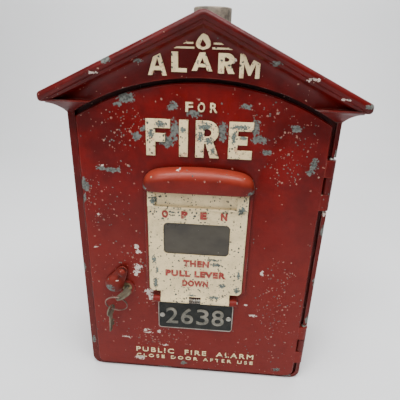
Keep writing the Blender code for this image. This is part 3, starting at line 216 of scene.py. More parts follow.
def red_enamel(name, grey=(), pale=(), wear=1.0, fade_and_highlight=0.0, depth=1.0):
    """Red enamel on cast metal, chipped to primer and grey metal. It is deep at the top and paler below, from
    dust and from painted reflection of the floor. It has painted shade in its crevices and painted highlight
    along its edges. A depth below 1 darkens it all as painted shade, and fading adds painted highlight on
    faces turned up.
    """
    paint = Paint(name)
    # A depth below 1 darkens all three reds alike: a darker copy of the same enamel, as painted shade.
    dark, red, dusty = (tuple(depth * part for part in tone) for tone in (DARK_RED, RED, DUST_AND_FLOOR_REFLECTION_RED))
    height = paint.add("SeparateXYZ", {0: paint.place}).outputs["Z"]
    # Paler and rougher towards the bottom: dust, and painted reflection of the bright floor.
    low = paint.step(height, 0.30, 0.14)
    cloud = paint.noise(22, 5, 0.65)
    mottle = paint.noise(190, 4, 0.7)
    dust = paint.calc("MULTIPLY", low, paint.step(paint.noise(60, 5, 0.7), 0.30, 0.62, 0.55, 1.0))
    colour = paint.mix(paint.step(cloud, 0.35, 0.68), dark, red)
    colour = paint.mix(dust, colour, dusty)
    colour = paint.mix(paint.step(mottle, 0.50, 0.80, 0.0, 0.35), colour, dark)
    # Paler on faces turned up: sun fading, and painted highlight.
    if fade_and_highlight:
        facing = paint.add("SeparateXYZ", {0: paint.add("NewGeometry").outputs["Normal"]}).outputs["Z"]
        fade_and_highlight_mask = paint.step(facing, -0.1, 0.75, 0.12, fade_and_highlight)
        fade_and_highlight_mask = paint.calc("MULTIPLY", fade_and_highlight_mask, paint.step(cloud, 0.3, 0.7, 0.75, 1.0))
        colour = paint.mix(fade_and_highlight_mask, colour, (0.29, 0.040, 0.020))
    # Painted shade and grime: near-black in recesses and creases, the more so as other faces close in round
    # them.
    crevice_shade_and_grime = paint.add("AmbientOcclusion", {"Distance": 0.006}, samples=4).outputs["AO"]
    colour = paint.mix(paint.step(crevice_shade_and_grime, 0.75, 0.30, 0.0, 0.7), colour, (0.020, 0.004, 0.003))

    ragged = paint.ragged(0.007, 130)
    rough_place = paint.ragged(0.0022, 420)
    crumbs = paint.noise(420, 3, 0.6)
    worn = paint.step(paint.noise(7, 2, 0.5), 0.42, 0.62)
    chips = paint.step(paint.noise(75, 6, 0.62, 0.3, at=ragged), 0.735 - 0.015 * wear, 0.745 - 0.015 * wear)
    chips = paint.calc("MULTIPLY", chips, worn)
    busy = paint.step(paint.noise(16, 3, 0.6), 0.45, 0.62, 0.10, 1.0)
    if grey:
        outline = paint.calc("ADD", paint.patches(grey, ragged), paint.step(crumbs, 0.35, 0.75, 0.0, 0.75))
        chips = paint.calc("MAXIMUM", chips, paint.step(outline, 1.22, 1.12))
        crowd = paint.patches(BUSY, paint.ragged(0.02, 30))
        crowd = paint.step(crowd, 1.25, 0.75, 0.0, 2.2)
        busy = paint.calc("MAXIMUM", paint.calc("MULTIPLY", busy, 0.6), crowd)
    flakes = paint.flecks(330, 0.42, paint.calc("MULTIPLY", busy, 0.11 * wear), rough_place)
    tiny = paint.flecks(620, 0.40, paint.calc("MULTIPLY", busy, 0.10 * wear), rough_place)
    flakes = paint.calc("MAXIMUM", flakes, tiny)
    lost_pale = 0.0
    specks = paint.flecks(470, 0.45, paint.calc("MULTIPLY", busy, 0.06 * wear), paint.ragged(0.002, 500))
    chips = paint.calc("MAXIMUM", chips, specks)
    if pale:
        outline = paint.calc("ADD", paint.patches(pale, ragged), paint.step(crumbs, 0.38, 0.70, 0.0, 0.9))
        lost_pale = paint.step(outline, 1.16, 1.06)
        flakes = paint.calc("MAXIMUM", flakes, lost_pale)
    rubbed = paint.calc("MULTIPLY", paint.edges(0.0011), paint.step(paint.noise(45, 5, 0.7), 0.50, 0.62))
    chips = paint.calc("MAXIMUM", chips, paint.calc("MULTIPLY", rubbed, 0.85 * wear))

    metal = paint.mix(paint.step(crumbs, 0.35, 0.7), BARE_GREY, DARK_GREY)
    flake = paint.mix(paint.step(paint.noise(260, 2), 0.40, 0.62), PRIMER, TAN_FLAKE)
    flake = paint.mix(lost_pale, flake, PALE_FLAKE)
    # Pinkish along the edges, in patches: enamel rubbed thin, and painted highlight.
    rub_and_edge_highlight = paint.step(paint.noise(30, 4), 0.40, 0.65, 0.05, 0.40)
    rub_and_edge_highlight = paint.calc("MULTIPLY", paint.edges(0.0016, 0.01, 0.10), rub_and_edge_highlight)
    colour = paint.mix(rub_and_edge_highlight, colour, (0.28, 0.045, 0.030))
    colour = paint.mix(paint.calc("MULTIPLY", flakes, 0.9), colour, flake)
    colour = paint.mix(chips, colour, metal)
    gloss = paint.step(paint.noise(35, 4), 0.3, 0.7, 0.30, 0.44)
    rough = paint.blend(paint.calc("MULTIPLY", dust, 0.8), gloss, 0.56)
    missing = paint.calc("MAXIMUM", chips, flakes)
    casting = paint.bump(paint.noise(38, 3, 0.5), 0.0009)
    peel = paint.bump(paint.noise(520, 2), 0.00010, casting)
    edge = paint.bump(paint.calc("SUBTRACT", 1.0, missing), 0.00022, peel)
    paint.set(Base_Color=colour, Roughness=paint.blend(missing, rough, 0.62), Normal=edge)
    paint.set(Metallic=paint.calc("MULTIPLY", chips, 0.25), Specular_IOR_Level=0.2)
    return paint.material


def cream_enamel(name, grey=(), speckle=1.0, rosy=0.0):
    """Aged cream enamel with dark pits, grey-green chips and stains."""
    paint = Paint(name)
    ragged = paint.ragged(0.004, 220)
    colour = paint.mix(paint.step(paint.noise(45, 5, 0.65), 0.42, 0.78, 0.0, 0.65), CREAM, CREAM_STAIN)
    colour = paint.mix(paint.step(paint.noise(420, 3, 0.7), 0.50, 0.72, 0.0, 0.45), colour, CREAM_STAIN)
    pits = paint.calc("MAXIMUM", paint.flecks(260, 0.42, 0.24 * speckle, ragged),
                      paint.flecks(420, 0.50, 0.24 * speckle, ragged))
    start = 0.685 - 0.02 * speckle
    chips = paint.step(paint.noise(95, 6, 0.68, 0.2, at=ragged), start, start + 0.015)
    if grey:
        crumbs = paint.step(paint.noise(500, 3, 0.6), 0.35, 0.70, 0.0, 0.85)
        outline = paint.calc("ADD", paint.patches(grey, ragged), crumbs)
        chips = paint.calc("MAXIMUM", chips, paint.step(outline, 1.22, 1.10))
    worn_edge = paint.calc("MULTIPLY", paint.edges(0.0009), paint.step(paint.noise(70, 5, 0.7), 0.50, 0.60))
    chips = paint.calc("MAXIMUM", chips, worn_edge)
    grain = paint.step(paint.noise(600, 2), 0.4, 0.65)
    bare = paint.mix(grain, (0.125, 0.150, 0.125), (0.040, 0.050, 0.044))
    if rosy:
        shown = paint.step(paint.noise(150, 4, 0.7), 0.56, 0.62, 0.0, rosy)
        colour = paint.mix(shown, colour, (0.32, 0.028, 0.020))
    colour = paint.mix(pits, colour, (0.055, 0.058, 0.048))
    colour = paint.mix(chips, colour, bare)
    lost = paint.calc("MAXIMUM", pits, chips)
    skin = paint.bump(paint.noise(300, 3), 0.00015)
    relief = paint.bump(paint.calc("SUBTRACT", 1.0, lost), 0.0002, skin)
    paint.set(Base_Color=colour, Roughness=paint.blend(lost, 0.42, 0.65), Normal=relief)
    return paint.material


def text_red(name):
    """Red filling on raised letters, worn through to the cream in small patches."""
    paint = Paint(name)
    cloud = paint.step(paint.noise(160, 4, 0.7), 0.42, 0.62)
    tone = paint.mix(cloud, (0.21, 0.008, 0.005), (0.30, 0.030, 0.018))
    thin = paint.step(paint.noise(380, 4, 0.7), 0.58, 0.66)
    paint.set(Base_Color=paint.mix(thin, tone, (0.45, 0.30, 0.20)), Roughness=0.48)
    paint.set(Normal=paint.bump(paint.noise(500, 2), 0.00008))
    return paint.material


def bare_metal(name, light, dark, metallic, rough, grain=220, stain=None, relief=0.00012):
    """Metal with tarnish in patches, fine scratches along X and brighter edges."""
    paint = Paint(name, Metallic=metallic)
    patch = paint.step(paint.noise(60, 6, 0.68), 0.38, 0.66)
    colour = paint.mix(patch, light, dark)
    if stain:
        colour = paint.mix(paint.step(paint.noise(130, 5, 0.7), 0.56, 0.66, 0.0, 0.8), colour, stain)
    stretched = paint.vector("MULTIPLY", paint.place, (0.15, 1.0, 1.0))
    scratch = paint.noise(grain * 6, 2, 0.5, at=stretched)
    colour = paint.mix(paint.calc("MULTIPLY", paint.edges(0.0006), 0.45), colour, light)
    worn = paint.step(paint.noise(grain, 5, 0.7), 0.3, 0.7, rough - 0.08, rough + 0.14)
    paint.set(Base_Color=colour, Roughness=worn)
    rough_cast = paint.bump(paint.noise(grain, 5, 0.65), relief)
    paint.set(Normal=paint.bump(scratch, relief * 0.3, rough_cast))
    return paint.material


def plate_enamel():
    """Near-black enamel, with pale dust in patches."""
    paint = Paint("plate_enamel_look")
    cloud = paint.step(paint.noise(70, 5, 0.7), 0.35, 0.7)
    tone = paint.mix(cloud, (0.008, 0.010, 0.009), (0.020, 0.020, 0.017))
    dust = paint.step(paint.noise(420, 3, 0.7), 0.60, 0.72, 0.0, 0.30)
    colour = paint.mix(dust, tone, (0.16, 0.15, 0.12))
    paint.set(Base_Color=colour, Roughness=paint.step(paint.noise(90, 4), 0.3, 0.7, 0.45, 0.65))
    paint.set(Specular_IOR_Level=0.2)
    paint.set(Normal=paint.bump(paint.noise(260, 4), 0.0002))
    return paint.material


def dusty_glass():
    """Window glass so dusty that it looks flat grey, a little clearer in streaks."""
    paint = Paint("window_glass_look", Transmission_Weight=0.22, IOR=1.46, Specular_IOR_Level=0.25)
    smear = paint.noise(26, 4, 0.55, at=paint.vector("MULTIPLY", paint.place, (0.7, 1.0, 1.2)))
    colour = paint.mix(paint.step(smear, 0.35, 0.68), (0.042, 0.036, 0.028), (0.078, 0.067, 0.050))
    colour = paint.mix(paint.flecks(300, 0.3, 0.06, paint.ragged(0.003, 300)), colour, (0.20, 0.19, 0.16))
    paint.set(Base_Color=colour, Roughness=paint.step(smear, 0.3, 0.7, 0.22, 0.5))
    paint.set(Normal=paint.bump(paint.noise(90, 3), 0.00012))
    return paint.material


def rubber():
    paint = Paint("rubber_look")
    cloud = paint.step(paint.noise(120, 4), 0.4, 0.7)
    colour = paint.mix(cloud, (0.016, 0.016, 0.015), (0.040, 0.038, 0.034))
    paint.set(Base_Color=colour, Roughness=paint.step(paint.noise(200, 3), 0.3, 0.7, 0.70, 0.9))
    paint.set(Normal=paint.bump(paint.noise(700, 3), 0.00015))
    return paint.material


def black_fibre():
    """Pressed fibre board: brown-black, with short darker strands."""
    paint = Paint("black_fibre_look")
    strands = paint.noise(700, 3, 0.6, at=paint.vector("MULTIPLY", paint.place, (0.3, 1.0, 1.4)))
    colour = paint.mix(paint.step(strands, 0.40, 0.62), (0.030, 0.018, 0.012), (0.070, 0.040, 0.024))
    paint.set(Base_Color=colour, Roughness=paint.step(strands, 0.3, 0.7, 0.42, 0.6))
    paint.set(Normal=paint.bump(strands, 0.00010))
    return paint.material


LOOKS = {
    "red_enamel": red_enamel("red_enamel_look", wear=1.1),
    "cream_enamel": cream_enamel(
        "cream_enamel_look", speckle=1.5,
        grey=[(22, 170, 7, 3), (18, 176, 10, 1.5), (-49, 172, 2.5, 7), (-48, 140, 3, 8), (47, 137, 4, 5),
              (30, 142, 6, 3), (22, 125, 9, 2), (-5, 126, 6, 1.5), (46, 240, 4, 7), (-48, 246, 4, 5),
              (-27, 233, 4, 1), (-46, 158, 2, 5), (48, 158, 2, 7)],
    ),
    "plate_enamel": plate_enamel(),
    "bare_casting": bare_metal("bare_casting_look", (0.26, 0.215, 0.16), (0.065, 0.060, 0.048), 0.2, 0.62,
                               stain=(0.12, 0.065, 0.035), relief=0.0006),
    "steel": bare_metal("steel_look", (0.40, 0.385, 0.34), (0.17, 0.16, 0.13), 0.85, 0.42,
                        stain=(0.12, 0.065, 0.03)),
    "brass": bare_metal("brass_look", (0.66, 0.47, 0.20), (0.36, 0.23, 0.08), 1.0, 0.32,
                        stain=(0.14, 0.10, 0.05)),
    "window_glass": dusty_glass(),
    "rubber": rubber(),
    "black_fibre": black_fibre(),
    "black_iron": bare_metal("black_iron_look", (0.075, 0.072, 0.068), (0.022, 0.021, 0.020), 0.3, 0.48,
                             stain=(0.10, 0.045, 0.02), relief=0.0004),
}
DOOR_RED = red_enamel("door_red_look", DOOR_GREY, DOOR_PALE)
# The door's enamel again, darkened as painted shade for the roof, the pediment and the sides of the case.
SHADED_CASE_RED = red_enamel("case_red_look", CASE_GREY, CASE_PALE, depth=0.66)
LETTER_CREAM = cream_enamel(
    "letter_cream_look",
    grey=[(-40, 326, 7, 2.5), (-50, 316, 3, 4), (-18, 321, 4, 3), (4, 325, 8, 4), (-1, 315, 4, 6),
          (8, 311, 5, 4), (12, 301, 3, 4), (38, 326, 10, 3), (33, 315, 3, 7), (42, 316, 4, 3)],
    speckle=1.5, rosy=0.5,
)
TEXT_RED = text_red("text_red_look")
DIGIT_GREY = bare_metal("digit_grey_look", (0.23, 0.21, 0.165), (0.075, 0.075, 0.060), 0.2, 0.6,
                        relief=0.0003)
BARE_EDGE = bare_metal("bare_edge_look", (0.34, 0.31, 0.27), (0.20, 0.13, 0.10), 0.4, 0.55)
# The hood and the cover: the same enamel darkened as painted shade, and paler on faces turned up, from sun
# fading and painted highlight.
HOOD_RED = red_enamel("hood_red_look", [(57, 272, 2, 6), (53, 262, 4, 2), (-57, 263, 3, 2)],
                      [(-22, 283, 3, 0.8)], fade_and_highlight=0.75, depth=0.85)
COVER_RED = red_enamel("cover_red_look", [(-103, 129, 6.5, 6)], [(-103, 131, 3.6, 4.2), (-93, 140, 2.5, 1.2)],
                       fade_and_highlight=0.3, depth=0.7)
RING_METAL = bare_metal("ring_look", (0.20, 0.125, 0.095), (0.085, 0.050, 0.038), 0.5, 0.45)
KEY_METAL = bare_metal("key_look", (0.18, 0.155, 0.105), (0.075, 0.065, 0.042), 0.5, 0.5,
                       stain=(0.08, 0.06, 0.035), relief=0.0003)
SMALL_CREAM = cream_enamel("small_letter_look", speckle=0.4)
LOCK_BRASS = bare_metal("lock_look", (0.24, 0.17, 0.085), (0.10, 0.072, 0.040), 0.6, 0.45)
PEDIMENT_CREAM = cream_enamel("pediment_cream_look", speckle=1.4, rosy=0.4)
COVERED_WIRE = bare_metal("covered_wire_look", (0.055, 0.040, 0.028), (0.030, 0.022, 0.016), 0.0, 0.75)


# ---------------------------------------------------------------- mesh tools

def finish_mesh(mesh, paint, sharp=35):
    mesh.materials.clear()
    mesh.materials.append(paint)
    mesh.shade_smooth()
    mesh.set_sharp_from_angle(angle=math.radians(sharp))
    return mesh


def add_piece(name, mesh, paint, body, slot, replaces=(), sharp=35):
    made = bpy.data.objects.new(name, finish_mesh(mesh, paint, sharp))
    bpy.context.scene.collection.objects.link(made)
    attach(made, body)
    if replaces:
        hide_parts(*replaces)
    return made


def stand_in(node, shape, paint=None, slot=None, sharp=35):
    """A finer shape for a CAD node, on the same body, with the node's own look unless another paint is given.
    The node is hidden.
    """
    paint = paint or LOOKS[SLOT_OF[node]]
    slot = slot or SLOT_OF[node]
    return add_piece(f"{node}_fine", mesh_of(node, shape), paint, BODY_OF[node], slot, (node,), sharp)


def mesh_of(name, shape):
    """A mesh from a bmesh, which it frees, or from an object, which it removes. A mesh stays as it is."""
    if isinstance(shape, bpy.types.Mesh):
        return shape
    if isinstance(shape, bmesh.types.BMesh):
        mesh = bpy.data.meshes.new(name)
        bmesh.ops.recalc_face_normals(shape, faces=shape.faces)
        shape.to_mesh(mesh)
        shape.free()
        return mesh
    bpy.context.scene.collection.objects.link(shape)
    bpy.context.view_layer.update()
    evaluated = shape.evaluated_get(bpy.context.evaluated_depsgraph_get())
    mesh = bpy.data.meshes.new_from_object(evaluated)
    bpy.data.objects.remove(shape, do_unlink=True)
    return mesh


def carved(name, body, cutters, operation="DIFFERENCE"):
    """A bmesh body with others cut from it or joined to it, as a mesh."""
    target = bpy.data.objects.new(name, mesh_of(name, body))
    helpers = []
    for cutter in cutters:
        helper = bpy.data.objects.new(name + ".cutter", mesh_of(name, cutter))
        bpy.context.scene.collection.objects.link(helper)
        step = target.modifiers.new("Cut", "BOOLEAN")
        step.operation, step.object = operation, helper
        helpers.append(helper)
    mesh = mesh_of(name, target)
    for helper in helpers:
        bpy.data.objects.remove(helper, do_unlink=True)
    return mesh


def welded(node):
    """A CAD node's faces as a bmesh, with its triangles joined back into flat faces."""
    shape = bmesh.new()
    shape.from_mesh(NODES[node].data)
    bmesh.ops.remove_doubles(shape, verts=shape.verts, dist=0.01 * MM)
    bmesh.ops.dissolve_limit(shape, angle_limit=math.radians(1.0), verts=shape.verts, edges=shape.edges)
    return shape


def rounded(made, width, segments=3, angle=32):
    """Rounds a piece's edges, and keeps its flat faces flat."""
    edge = made.modifiers.new("Edges", "BEVEL")
    edge.width, edge.segments = width, segments
    edge.limit_method = "ANGLE"
    edge.angle_limit = math.radians(angle)
    edge.harden_normals = True
    return made


def soften(node, width, paint=None, segments=3, angle=32, sharp=35):
    return rounded(stand_in(node, welded(node), paint, sharp=sharp), width, segments, angle)


def skin(rings, capped=True, looped=False):
    """Joins rings of points, one after another, into a closed bmesh. A ring of one point is a tip."""
    shape = bmesh.new()
    rings = [[shape.verts.new(point) for point in ring] for ring in rings]
    pairs = list(zip(rings, rings[1:]))
    if looped:
        pairs.append((rings[-1], rings[0]))
    for near, far in pairs:
        count = max(len(near), len(far))
        for i in range(count):
            j = (i + 1) % count
            if len(near) == 1:
                shape.faces.new((near[0], far[j], far[i]))
            elif len(far) == 1:
                shape.faces.new((near[i], near[j], far[0]))
            else:
                shape.faces.new((near[i], near[j], far[j], far[i]))
    if capped and not looped:
        for ring in (rings[0], rings[-1]):
            if len(ring) > 2:
                shape.faces.new(ring)
    return shape


def lathe(profile, centre, axis="Y", steps=48, bored=False):
    """A profile of (radius, distance along the axis) turned about it."""
    rings = []
    for radius, along in profile:
        turns = steps if radius else 1
        ring = []
        for i in range(turns):
            angle = math.tau * i / turns
            a, b = radius * math.cos(angle), radius * math.sin(angle)
            offset = {"X": (along, a, b), "Y": (a, along, b), "Z": (a, b, along)}[axis]
            ring.append(Vector(centre) + Vector(offset))
        rings.append(ring)
    return skin(rings, looped=bored)


def arc(x, z, radius, start, end, steps):
    angles = (math.radians(start + (end - start) * i / steps) for i in range(steps + 1))
    return [(x + radius * math.cos(a), z + radius * math.sin(a)) for a in angles]


def rounded_rectangle(x0, x1, z0, z1, radius, steps=8):
    return (
        arc(x0 + radius, z0 + radius, radius, 180, 270, steps)
        + arc(x1 - radius, z0 + radius, radius, 270, 360, steps)
        + arc(x1 - radius, z1 - radius, radius, 0, 90, steps)
        + arc(x0 + radius, z1 - radius, radius, 90, 180, steps)
    )


def plate(outline, y0, y1):
    return skin([[(x, y, z) for x, z in outline] for y in (y0, y1)])


def block(x0, x1, y0, y1, z0, z1):
    return plate([(x0, z0), (x1, z0), (x1, z1), (x0, z1)], y0, y1)


def wire(name, points, radius, cyclic=False):
    """Round wire along points, as a mesh."""
    curve = bpy.data.curves.new(name, "CURVE")
    curve.dimensions = "3D"
    curve.bevel_depth = radius
    curve.bevel_resolution = 3
    curve.use_fill_caps = True
    line = curve.splines.new("POLY")
    line.use_cyclic_u = cyclic
    line.points.add(len(points) - 1)
    for point, place in zip(line.points, points):
        point.co = (*place, 1.0)
    return sealed(mesh_of(name, bpy.data.objects.new(name, curve)), WELD)


def sealed(mesh, gap):
    """A mesh with its points closer than the gap joined, and with no faces of no size."""
    shape = bmesh.new()
    shape.from_mesh(mesh)
    bmesh.ops.remove_doubles(shape, verts=shape.verts, dist=gap)
    bmesh.ops.dissolve_degenerate(shape, edges=shape.edges, dist=gap)
    shape.to_mesh(mesh)
    shape.free()
    return mesh


def middle(node):
    low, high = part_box(node)
    return (Vector(low) + Vector(high)) / 2


# ---------------------------------------------------------------- lettering

def outline_mesh(name, curve, depth, edge):
    curve.dimensions = "2D"
    curve.fill_mode = "BOTH"
    curve.extrude = depth / 2 - edge
    curve.bevel_depth = edge
    curve.bevel_resolution = 2
    return mesh_of(name, bpy.data.objects.new(name, curve))


def font_letters(text, weight, tracking):
    curve = bpy.data.curves.new(text, "FONT")
    curve.body = text
    curve.offset = weight
    curve.space_character = tracking
    curve.resolution_u = 6
    return curve


def drawn_letters(outlines):
    """A filled 2D curve from closed outlines. One inside another is its hole."""
    curve = bpy.data.curves.new("drawn", "CURVE")
    curve.dimensions = "2D"
    for outline in outlines:
        line = curve.splines.new("POLY")
        line.use_cyclic_u = True
        line.points.add(len(outline) - 1)
        for point, (x, z) in zip(line.points, outline):
            point.co = (x, z, 0, 1.0)
    return curve


def lettering(name, rows, back_y, depth, paint, body, edge=0.35 * MM, weight=0.012, slot="cream_enamel"):
    """Raised words on a face at back_y. A row is (text or outlines, x0, x1, z0, z1, tracking), in mm."""
    shape = bmesh.new()
    for text, *sides, tracking in rows:
        x0, x1, z0, z1 = (side * MM for side in sides)
        curve = font_letters(text, weight, tracking) if isinstance(text, str) else drawn_letters(text)
        flat = outline_mesh(name, curve, 1.0, 0.0)
        low = Vector(min(v.co[i] for v in flat.vertices) for i in range(3))
        high = Vector(max(v.co[i] for v in flat.vertices) for i in range(3))
        bpy.data.meshes.remove(flat)
        wide, tall = (x1 - x0) / (high.x - low.x), (z1 - z0) / (high.y - low.y)
        curve = font_letters(text, weight, tracking) if isinstance(text, str) else drawn_letters(text)
        letters = outline_mesh(name, curve, depth / tall, edge / tall)
        letters.transform(Matrix(((wide, 0, 0, x0 - wide * low.x), (0, 0, -tall, back_y - depth / 2),
                                  (0, tall, 0, z0 - tall * low.y), (0, 0, 0, 1))))
        shape.from_mesh(sealed(letters, WELD))
        bpy.data.meshes.remove(letters)
    return add_piece(name, mesh_of(name, shape), paint, body, slot, sharp=40)


def spaced(text, width, places, z0, z1):
    """Rows of one letter each, with their middles at the places."""
    return [(letter, x - width / 2, x + width / 2, z0, z1, 1.0) for letter, x in zip(text, places)]


# ---------------------------------------------------------------- case and door

ROOF_SLOPE = math.radians(25.7)
APEX_ROUND, APEX_Z = 11 * MM, 428 * MM
SHARP_APEX_Z = APEX_Z + APEX_ROUND * (1 / math.cos(ROOF_SLOPE) - 1)
EAVE_X, EAVE_Z, EAVE_ROUND = 156.5 * MM, 345.5 * MM, 3.6 * MM
RIM_Y = -76 * MM
CASE_HALF, CASE_WALL, CASE_FRONT_Y, WALL_Y = 136 * MM, 6 * MM, -55 * MM, 70 * MM
LEDGE_Y, LEDGE_THICKNESS = -49.5 * MM, 5 * MM
ARCH_RADIUS, ARCH_CENTRE_Z = 242 * MM, 124.5 * MM
HINGE_X, HINGE_Y = 132.5 * MM, -53.5 * MM
HINGES = {"hinge_pin_upper": (241, 296), "hinge_pin_lower": (28, 84)}


def roof_z(x, inset=0.0):
    """Height of the roof's slope at x, or of a line that far inside it."""
    return SHARP_APEX_Z - inset / math.cos(ROOF_SLOPE) - abs(x) * math.tan(ROOF_SLOPE)


def gable(inset, side, foot_z, round_ends=0.0):
    """The roof's outline at an inset from its slopes, with a rounded apex, ending at x = side."""
    slope = math.degrees(ROOF_SLOPE)
    radius = max(APEX_ROUND - inset, 2 * MM)
    centre_z = SHARP_APEX_Z - (inset + radius) / math.cos(ROOF_SLOPE)
    ridge = arc(0, centre_z, radius, 90 - slope, 90 + slope, 20)
    if not round_ends:
        eave_z = roof_z(side, inset)
        return [(-side, foot_z), (side, foot_z), (side, eave_z), *ridge, (-side, eave_z)]
    top_z, low_z, x = roof_z(side - round_ends, inset + round_ends), foot_z + round_ends, side - round_ends
    return (
        arc(x, low_z, round_ends, -90, 0, 7) + arc(x, top_z, round_ends, 0, 90 - slope, 7) + ridge
        + arc(-x, top_z, round_ends, 90 + slope, 180, 7) + arc(-x, low_z, round_ends, 180, 270, 7)
    )


def rounded_off(line, rounds=3):
    """A line of points with its corners cut again and again, so that it runs in curves."""
    for _ in range(rounds):
        cut = [line[0]]
        for p, q in zip(line, line[1:]):
            cut += [(0.75 * p[0] + 0.25 * q[0], 0.75 * p[1] + 0.25 * q[1]),
                    (0.25 * p[0] + 0.75 * q[0], 0.25 * p[1] + 0.75 * q[1])]
        line = cut + [line[-1]]
    return line


def arched(left, right, bottom, grow, corner):
    """A panel with straight sides under the door's arch, grown outwards at the arch."""
    radius = ARCH_RADIUS + grow
    start, end = (math.degrees(math.acos(x / radius)) for x in (right, left))
    foot = arc(left + corner, bottom + corner, corner, 180, 270, 6)
    foot += arc(right - corner, bottom + corner, corner, 270, 360, 6)
    return foot + arc(0, ARCH_CENTRE_Z, radius, start, end, 48)


def in_metres(points):
    return [(x * MM, z * MM) for x, z in points]


def rod(radius, start, end, centre, axis="Y", steps=32):
    return lathe([(0, start), (radius, start), (radius, end), (0, end)], centre, axis, steps)


def side_prism(outline, x0, x1):
    return skin([[(x, y, z) for y, z in outline] for x in (x0, x1)])


def make_roof():
    """The gabled roof, bullnosed round its rim, with the pediment sunk in its front."""
    nose = 4.2 * MM
    rim_rings = []
    for i in range(13):
        turn = math.radians(7.5 * i)
        inset = nose * (1 - math.sin(turn))
        outline = gable(inset, EAVE_X - inset, EAVE_Z + 0.55 * inset, EAVE_ROUND - 0.35 * inset)
        rim_rings.append((RIM_Y + nose * (1 - math.cos(turn)), outline))
    rim_rings.append((WALL_Y, gable(0, EAVE_X, EAVE_Z, EAVE_ROUND)))
    # The steps of the moulding, as (y, inset from the slopes)
    steps = in_metres([
        (-76, 4.6), (-75.4, 5.6), (-74.6, 7.8), (-72.4, 8.4), (-71.8, 10.8), (-70.4, 11.8), (-66.8, 13.2),
        (-64.0, 17.0), (-63.0, 24.0),
    ])
    sunk = [(RIM_Y - 4 * MM, nose)] + rounded_off(steps)
    return carved(
        "roof", skin([[(x, y, z) for x, z in outline] for y, outline in rim_rings]),
        [skin([[(x, y, z) for x, z in gable(inset, 165 * MM, 300 * MM)] for y, inset in sunk])],
    )


def make_eaves():
    """The coves that carry the roof out over the sides, with a soffit sloping up to its front."""
    cove = (
        in_metres([(-134, 322), (134, 322)]) + arc(150.3 * MM, 329.5 * MM, 14.5 * MM, 180, 90, 16)
        + in_metres([(150.3, 347.5), (-150.3, 347.5)]) + arc(-150.3 * MM, 329.5 * MM, 14.5 * MM, 90, 0, 16)
    )
    soffit = in_metres([
        (-54.5, 333.5), (-72.5, 346.2), (-72.5, 347.6), (69.5, 347.6), (69.5, 321.5), (-54.5, 321.5),
    ])
    cutter = side_prism(soffit, -170 * MM, 170 * MM)
    return carved("eaves", plate(cove, -80 * MM, 80 * MM), [cutter], "INTERSECT")


def case_hollows():
    """What is cut from the case: the door's recess and landing, the inside and the holes."""
    inner, under_roof = CASE_HALF - CASE_WALL, roof_z(CASE_HALF - CASE_WALL, 7.5 * MM)
    hub = middle("conduit_hub")
    hub_radius = (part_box("conduit_hub")[1].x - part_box("conduit_hub")[0].x) / 2
    recess = arched(-128.5 * MM, 131.5 * MM, 3.5 * MM, 4.5 * MM, 9 * MM)
    landing = arched(-119 * MM, 119 * MM, 13 * MM, -6 * MM, 4 * MM)
    inside = [(-inner, 6 * MM), (inner, 6 * MM), (inner, under_roof), (46 * MM, 398 * MM),
              (-46 * MM, 398 * MM), (-inner, under_roof)]
    hollows = [
        plate(recess, -90 * MM, LEDGE_Y),
        plate(landing, -60 * MM, LEDGE_Y + LEDGE_THICKNESS + MM),
        plate(inside, LEDGE_Y + LEDGE_THICKNESS, WALL_Y - CASE_WALL),
        rod(hub_radius + 0.4 * MM, 390 * MM, 450 * MM, (hub.x, hub.y, 0), "Z", 64),
    ]
    for x, z in ((-108, 30), (-108, 330), (108, 30), (108, 330)):
        hollows.append(rod(3.5 * MM, 60 * MM, 75 * MM, (x * MM, 0, z * MM)))
    return hollows


def make_case():
    """The case shell again, with its mouldings, eaves and corners in smooth curves."""
    corner = 12 * MM
    body = (
        arc(corner - CASE_HALF, corner, corner, 180, 270, 12)
        + arc(CASE_HALF - corner, corner, corner, 270, 360, 12)
        + [(CASE_HALF, 335 * MM), (-CASE_HALF, 335 * MM)]
    )
    case = carved("case", plate(body, CASE_FRONT_Y, WALL_Y), [make_eaves(), make_roof()], "UNION")
    hollows = case_hollows()
    for low, high in HINGES.values():
        hollows += [block(127 * MM, 140 * MM, -70 * MM, -48.5 * MM, z0 * MM, z1 * MM)
                    for z0, z1 in ((low - 3, low + 18.3), (high - 18.3, high + 3))]
    case = carved("case", case, hollows)

    hinge_at = (HINGE_X, HINGE_Y, 0)
    screws = [middle(f"tray_screw_{i}") for i in range(1, 5)]
    added = [rod(4.5 * MM, (low + high - 18) / 2 * MM, (low + high + 18) / 2 * MM, hinge_at, "Z")
             for low, high in HINGES.values()]
    added += [rod(7 * MM, 60.3 * MM, 66 * MM, (place.x, 0, place.z)) for place in screws]
    case = carved("case", case, added, "UNION")
    holes = [rod(2 * MM, (low - 3) * MM, (high + 3) * MM, hinge_at, "Z") for low, high in HINGES.values()]
    holes += [rod(2.2 * MM, 55 * MM, 67 * MM, (place.x, 0, place.z)) for place in screws]
    case = carved("case", case, holes)

    shape = bmesh.new()
    shape.from_mesh(sealed(case, 0.005 * MM))
    bmesh.ops.dissolve_limit(shape, angle_limit=math.radians(0.5), verts=shape.verts, edges=shape.edges)
    bmesh.ops.holes_fill(shape, edges=[edge for edge in shape.edges if edge.is_boundary])
    rounded(stand_in("case_shell", shape, SHADED_CASE_RED, sharp=40), 0.8 * MM, 3, 38)
    soften("main_door", 0.6 * MM, DOOR_RED)


